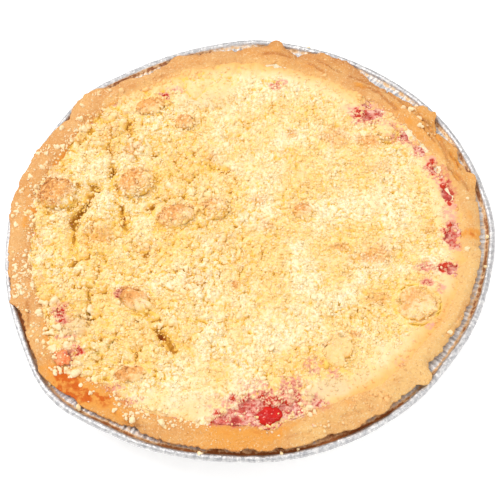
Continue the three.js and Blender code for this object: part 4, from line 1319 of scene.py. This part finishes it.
def foil_crumbs():
    """The few crumbs that fell on the foil's edge."""
    random = np.random.default_rng(161)
    x, y, size = np.array(FOIL_CRUMBS).T
    z = FLANGE_Z + FLANGE_RISE + FOIL + 0.8 * size
    place_crumbs("crumbs_on_foil", x, y, z, size, crumb_shapes(2, 4, 0.1, 162), random, toast=0.2 + 0 * x)


def large_crumbs():
    """The largest pale crumbs, each at its own place."""
    random = np.random.default_rng(165)
    x, y, size = np.array(LARGE_CRUMBS).T
    z = np.minimum(read_map(top_map, x, y) + 0.25 * size, TOP_LIMIT - 1.1 * size)
    place_crumbs(
        "crumbs_large", x, y, z, size, crumb_shapes(3, 10, 0.05, 166), random,
        tone=0.3 * random.uniform(0, 1, len(x)), smooth=0.3 + 0 * x, pale=0.3 + 0 * x,
    )


# ---- Lumps and fruit ----
def uneven_outline(around, turns, shift, seed):
    """Uneven values round an outline. More turns make them finer."""
    x, y = on_circle(turns, np.arange(around) * 360.0 / around)
    return noise(x + shift, y, 1.0, seed)


def dome_points(piece, grid, rise, wobble, rough_top):
    """Rings of points over a dome, from its top to its foot."""
    rows, around = grid
    foot = foot_z(piece)
    t = np.arange(around) * 360.0 / around
    c = math.cos(math.radians(piece["turn"]))
    s = math.sin(math.radians(piece["turn"]))
    wobble = np.minimum(wobble, 1.03)
    rings = []
    for row in range(rows):
        near = math.sin(row / (rows - 1) * math.pi / 2) ** (2 / piece["flat"] + 0.09)
        cos, sin = on_circle(0.97 * near * wobble, t)
        u, v = piece["a"] * cos, piece["b"] * sin
        x = piece["x"] + u * c - v * s
        y = piece["y"] + u * s + v * c
        dome = max(1 - near ** piece["flat"], 0) ** DOME_POWER
        z = np.maximum(foot + rise * dome + rough_top(x, y) * (0.35 + 0.65 * dome), foot)
        rings.append(np.stack([x, y, z], axis=1))
    base = rings[-1].copy()
    base[:, 2] = foot
    return rings + [base]


def build_lump(k, lump):
    """A rough baked lump, browner on top and towards its far side."""
    grid = BIG_GRID if lump["a"] > BIG_LUMP else SMALL_GRID
    uneven = 0.1 + 0.12 * lump["smooth"]
    wobble = 1 - 0.5 * uneven + uneven * uneven_outline(grid[1], 2, 9 * k, 111)
    wobble += 0.7 * uneven * uneven_outline(grid[1], 5, 9 * k, 131)
    plain = 1 - 0.8 * lump["smooth"]

    def rough_top(x, y):
        clods = 0.55 * heap(read_map(clod_near, x, y), 2.2)
        bits = 0.45 * heap(read_map(bit_near, x, y), 1.2)
        return plain * (clods + bits - 0.4) + 0.3 * rough(x, y, 4, 121)

    rings = dome_points(lump, grid, 0.93 * lump["h"], wobble, rough_top)
    x, y, z = np.concatenate(rings).T
    up = np.clip((z - foot_z(lump)) / lump["h"], 0, 1)
    toast = lump["toast"] * (0.25 + 0.75 * up) * far_side(lump, x, y) * (1 + 0.7 * rough(x, y, 5, 123))
    # Painted shade: the lump darkens towards its foot and in the gaps between its clods.
    piece = ring_mesh(
        f"lump_{k + 1:02d}", rings,
        tone=lump.get("tone", 0.4) + 0.4 * rough(x, y, 4, 122),
        toast=np.clip(toast, 0, 1.5),
        cavity=np.clip(plain * 0.5 * read_map(clod_gap, x, y) + 0.6 * (1 - up) ** 2, 0, 1),
        stain=read_map(stain_map, x, y) * 0.6,
        smooth=np.full(len(x), lump["smooth"]),
    )
    dress(piece, CRUMBLE_LOOK, f"crumble_lump_{k + 1:02d}")


def build_fruit(k, colour, look):
    around = FRUIT_GRID[1]
    wobble = 0.97 + 0.22 * uneven_outline(around, 2, 9 * k, 141) + 0.1 * uneven_outline(around, 5, 0, 145)

    def rough_top(x, y):
        return 0.3 * rough(x, y, 3.0, 143)

    rings = dome_points(FRUIT[k], FRUIT_GRID, 0.9 * FRUIT[k]["h"], wobble, rough_top)
    piece = ring_mesh(f"fruit_{colour}", rings, pale=np.full(len(rings) * around, 0.5 * k))
    dress(piece, look, f"fruit_piece_{colour}")


# ---- What lies on top, seen from above ----
EDGE_MAP = looked_up(crust_edge_r, MAP_T)
REACH_MAP = looked_up(bed_reach, MAP_T)


def whole_top():
    """A map of the height of whatever lies on top."""
    share = np.clip((MAP_R - LIP_MAP) / (EDGE_MAP - LIP_MAP), 0, 1)
    pastry = crust_top(MAP_T, share) + crust_bumps(MAP_X, MAP_Y, share)
    base = np.where(MAP_R < LIP_MAP, FILLING_SHOWS_Z + 0.4, pastry)
    top = np.where(MAP_R < REACH_MAP, np.maximum(bed_surface(MAP_X, MAP_Y), base), base)
    for piece in LUMPS + FRUIT:
        near = np.clip(near_map(piece), 0, 1)
        dome = foot_z(piece) + piece["h"] * (1 - near ** piece["flat"]) ** DOME_POWER * 0.9
        top = np.where(near < 0.95, np.maximum(dome, top), top)
    return top


def lumps_toast():
    """The topping's toast map with the lumps' own toast on it."""
    toast = toast_map.copy()
    for lump in LUMPS:
        on_lump = lump["toast"] * np.clip(far_side(lump, MAP_X, MAP_Y), 0, 1)
        toast = np.where(near_map(lump) < 0.9, np.maximum(toast, on_lump), toast)
    return toast


def strewn_pastry():
    """How thickly crumbs lie on the pastry: in patches, and along the topping's ragged edge."""
    strewn = ragged_ellipses(SPRINKLED, 3.0, 171) * patches(4, 173, -0.2, 0.2) + 0.015
    edge = (1 - 0.95 * BLEND_MAP) * (1 - 0.9 * gap_share(DEPTH_MAP))
    edge *= bell((MAP_R - LIP_MAP) / 3.2) * patches(7, 172, -0.5, 0.1)
    return np.maximum(strewn, edge)


def topping_spread(on_bed, on_lumps, on_pastry, in_gaps, on_smooth):
    """How likely a crumb lies at each place."""
    bed = MAP_R < np.minimum(REACH_MAP - 0.5, LIP_MAP + 1.5)
    spread = np.where(bed, on_bed * (1 - (1 - on_smooth) * smooth_map), 0.0)
    spread *= 1 - 0.8 * smoothstep(crack_map, 0.3, 0.7)
    spread = np.where((gap_map > 0.4) & (MAP_R < LIP_MAP), in_gaps * (1.15 - stain_map), spread)
    on_crust = (MAP_R >= LIP_MAP) & ~bed & (MAP_R < EDGE_MAP - 1.5)
    spread = np.where(on_crust, strewn_map * on_pastry, spread)
    for lump in LUMPS:
        near = near_map(lump)
        rough_lump = 1 - 0.85 * lump["smooth"]
        spread = np.where(near < 0.85, on_lumps * rough_lump, spread)
        spread = np.where((near >= 0.85) & (near < 1.25), np.maximum(spread, rough_lump), spread)
        if "moat" in lump:
            spread = np.where((near >= 0.85) & (near < 1.2), 0.15, spread)
    for fruit in FRUIT:
        spread = np.where(near_map(fruit) < 1.0, fruit["strewn"], spread)
    return spread


# ---- Set ----
def build_camera():
    elevation = math.radians(VIEW_ELEVATION)
    roll = math.radians(VIEW_ROLL)
    back = Vector((0, -math.cos(elevation), math.sin(elevation)))
    right = Vector((1, 0, 0))
    up = Vector((0, math.sin(elevation), math.cos(elevation)))
    turned_right = right * math.cos(roll) + up * math.sin(roll)
    turned_up = -right * math.sin(roll) + up * math.cos(roll)
    turn = Matrix((turned_right, turned_up, back)).transposed().to_4x4()
    camera = bpy.data.objects.new("camera", bpy.data.cameras.new("camera"))
    place = (Vector(VIEW_TARGET) + back * VIEW_DISTANCE) * MM
    camera.matrix_world = Matrix.Translation(place) @ turn
    camera.data.lens = LENS
    camera.data.sensor_width = SENSOR
    camera.data.clip_start = NEAREST
    bpy.context.collection.objects.link(camera)
    bpy.context.scene.camera = camera


def build_floor():
    bpy.ops.mesh.primitive_plane_add(size=FLOOR_SIZE, location=(0, 0, FLOOR_Z))
    floor = bpy.context.active_object
    floor.name = "floor"
    s = Shader("floor")
    s.colour = FLOOR_COLOUR
    glow = dict(Emission_Color=(1.0, 1.0, 1.0, 1.0), Emission_Strength=FLOOR_GLOW)
    floor.data.materials.append(s.finish(0.9, Specular_IOR_Level=0.0, **glow))


def build_lights():
    world = bpy.data.worlds.new("room")
    bpy.context.scene.world = world
    world.use_nodes = True
    sky = world.node_tree.nodes["Background"]
    sky.inputs["Color"].default_value = SKY_COLOUR
    sky.inputs["Strength"].default_value = SKY_STRENGTH
    for name, place, size, watts in LIGHTS:
        light = bpy.data.objects.new(name, bpy.data.lights.new(name, "AREA"))
        light.data.size = size
        light.data.energy = watts
        light.location = place
        light.rotation_euler = (-Vector(place)).to_track_quat("-Z", "Y").to_euler()
        bpy.context.collection.objects.link(light)


bpy.context.scene.view_settings.view_transform = "Standard"
build_camera()
build_floor()
build_lights()
build_tin()
build_crust()
build_filling()
build_bed()
for number, one_lump in enumerate(LUMPS):
    build_lump(number, one_lump)
build_fruit(0, "red", RED_LOOK)
build_fruit(1, "orange", ORANGE_LOOK)
foil_crumbs()
top_map = whole_top()
top_toast = lumps_toast()
strewn_map = strewn_pastry()
scatter(
    "crumbs_fine", GRAINS, 0.32, 0.85, grain_shapes(16, 151), 152, 0.35,
    topping_spread(1.0, 1.0, 0.9, 0.7, 0.2),
)
scatter(
    "crumbs_medium", CRUMBS, 0.5, 1.2, crumb_shapes(1, 12, 0.15, 155), 156, 0.45,
    topping_spread(0.8, 0.5, 0.3, 0.6, 0.1),
)
scatter(
    "crumbs_on_crust", CRUST_CRUMBS, 0.4, 1.4, crumb_shapes(1, 12, 0.15, 157), 158, 0.4,
    topping_spread(0, 0, 1.0, 0, 0),
)
scatter(
    "crumbs_coarse", KNOBS, 0.9, 2.1, crumb_shapes(2, 12, 0.1, 153), 154, 0.6,
    topping_spread(0.3, 0.1, 1.0, 1.0, 0.05) * (0.3 + 0.7 * coarse),
)
large_crumbs()
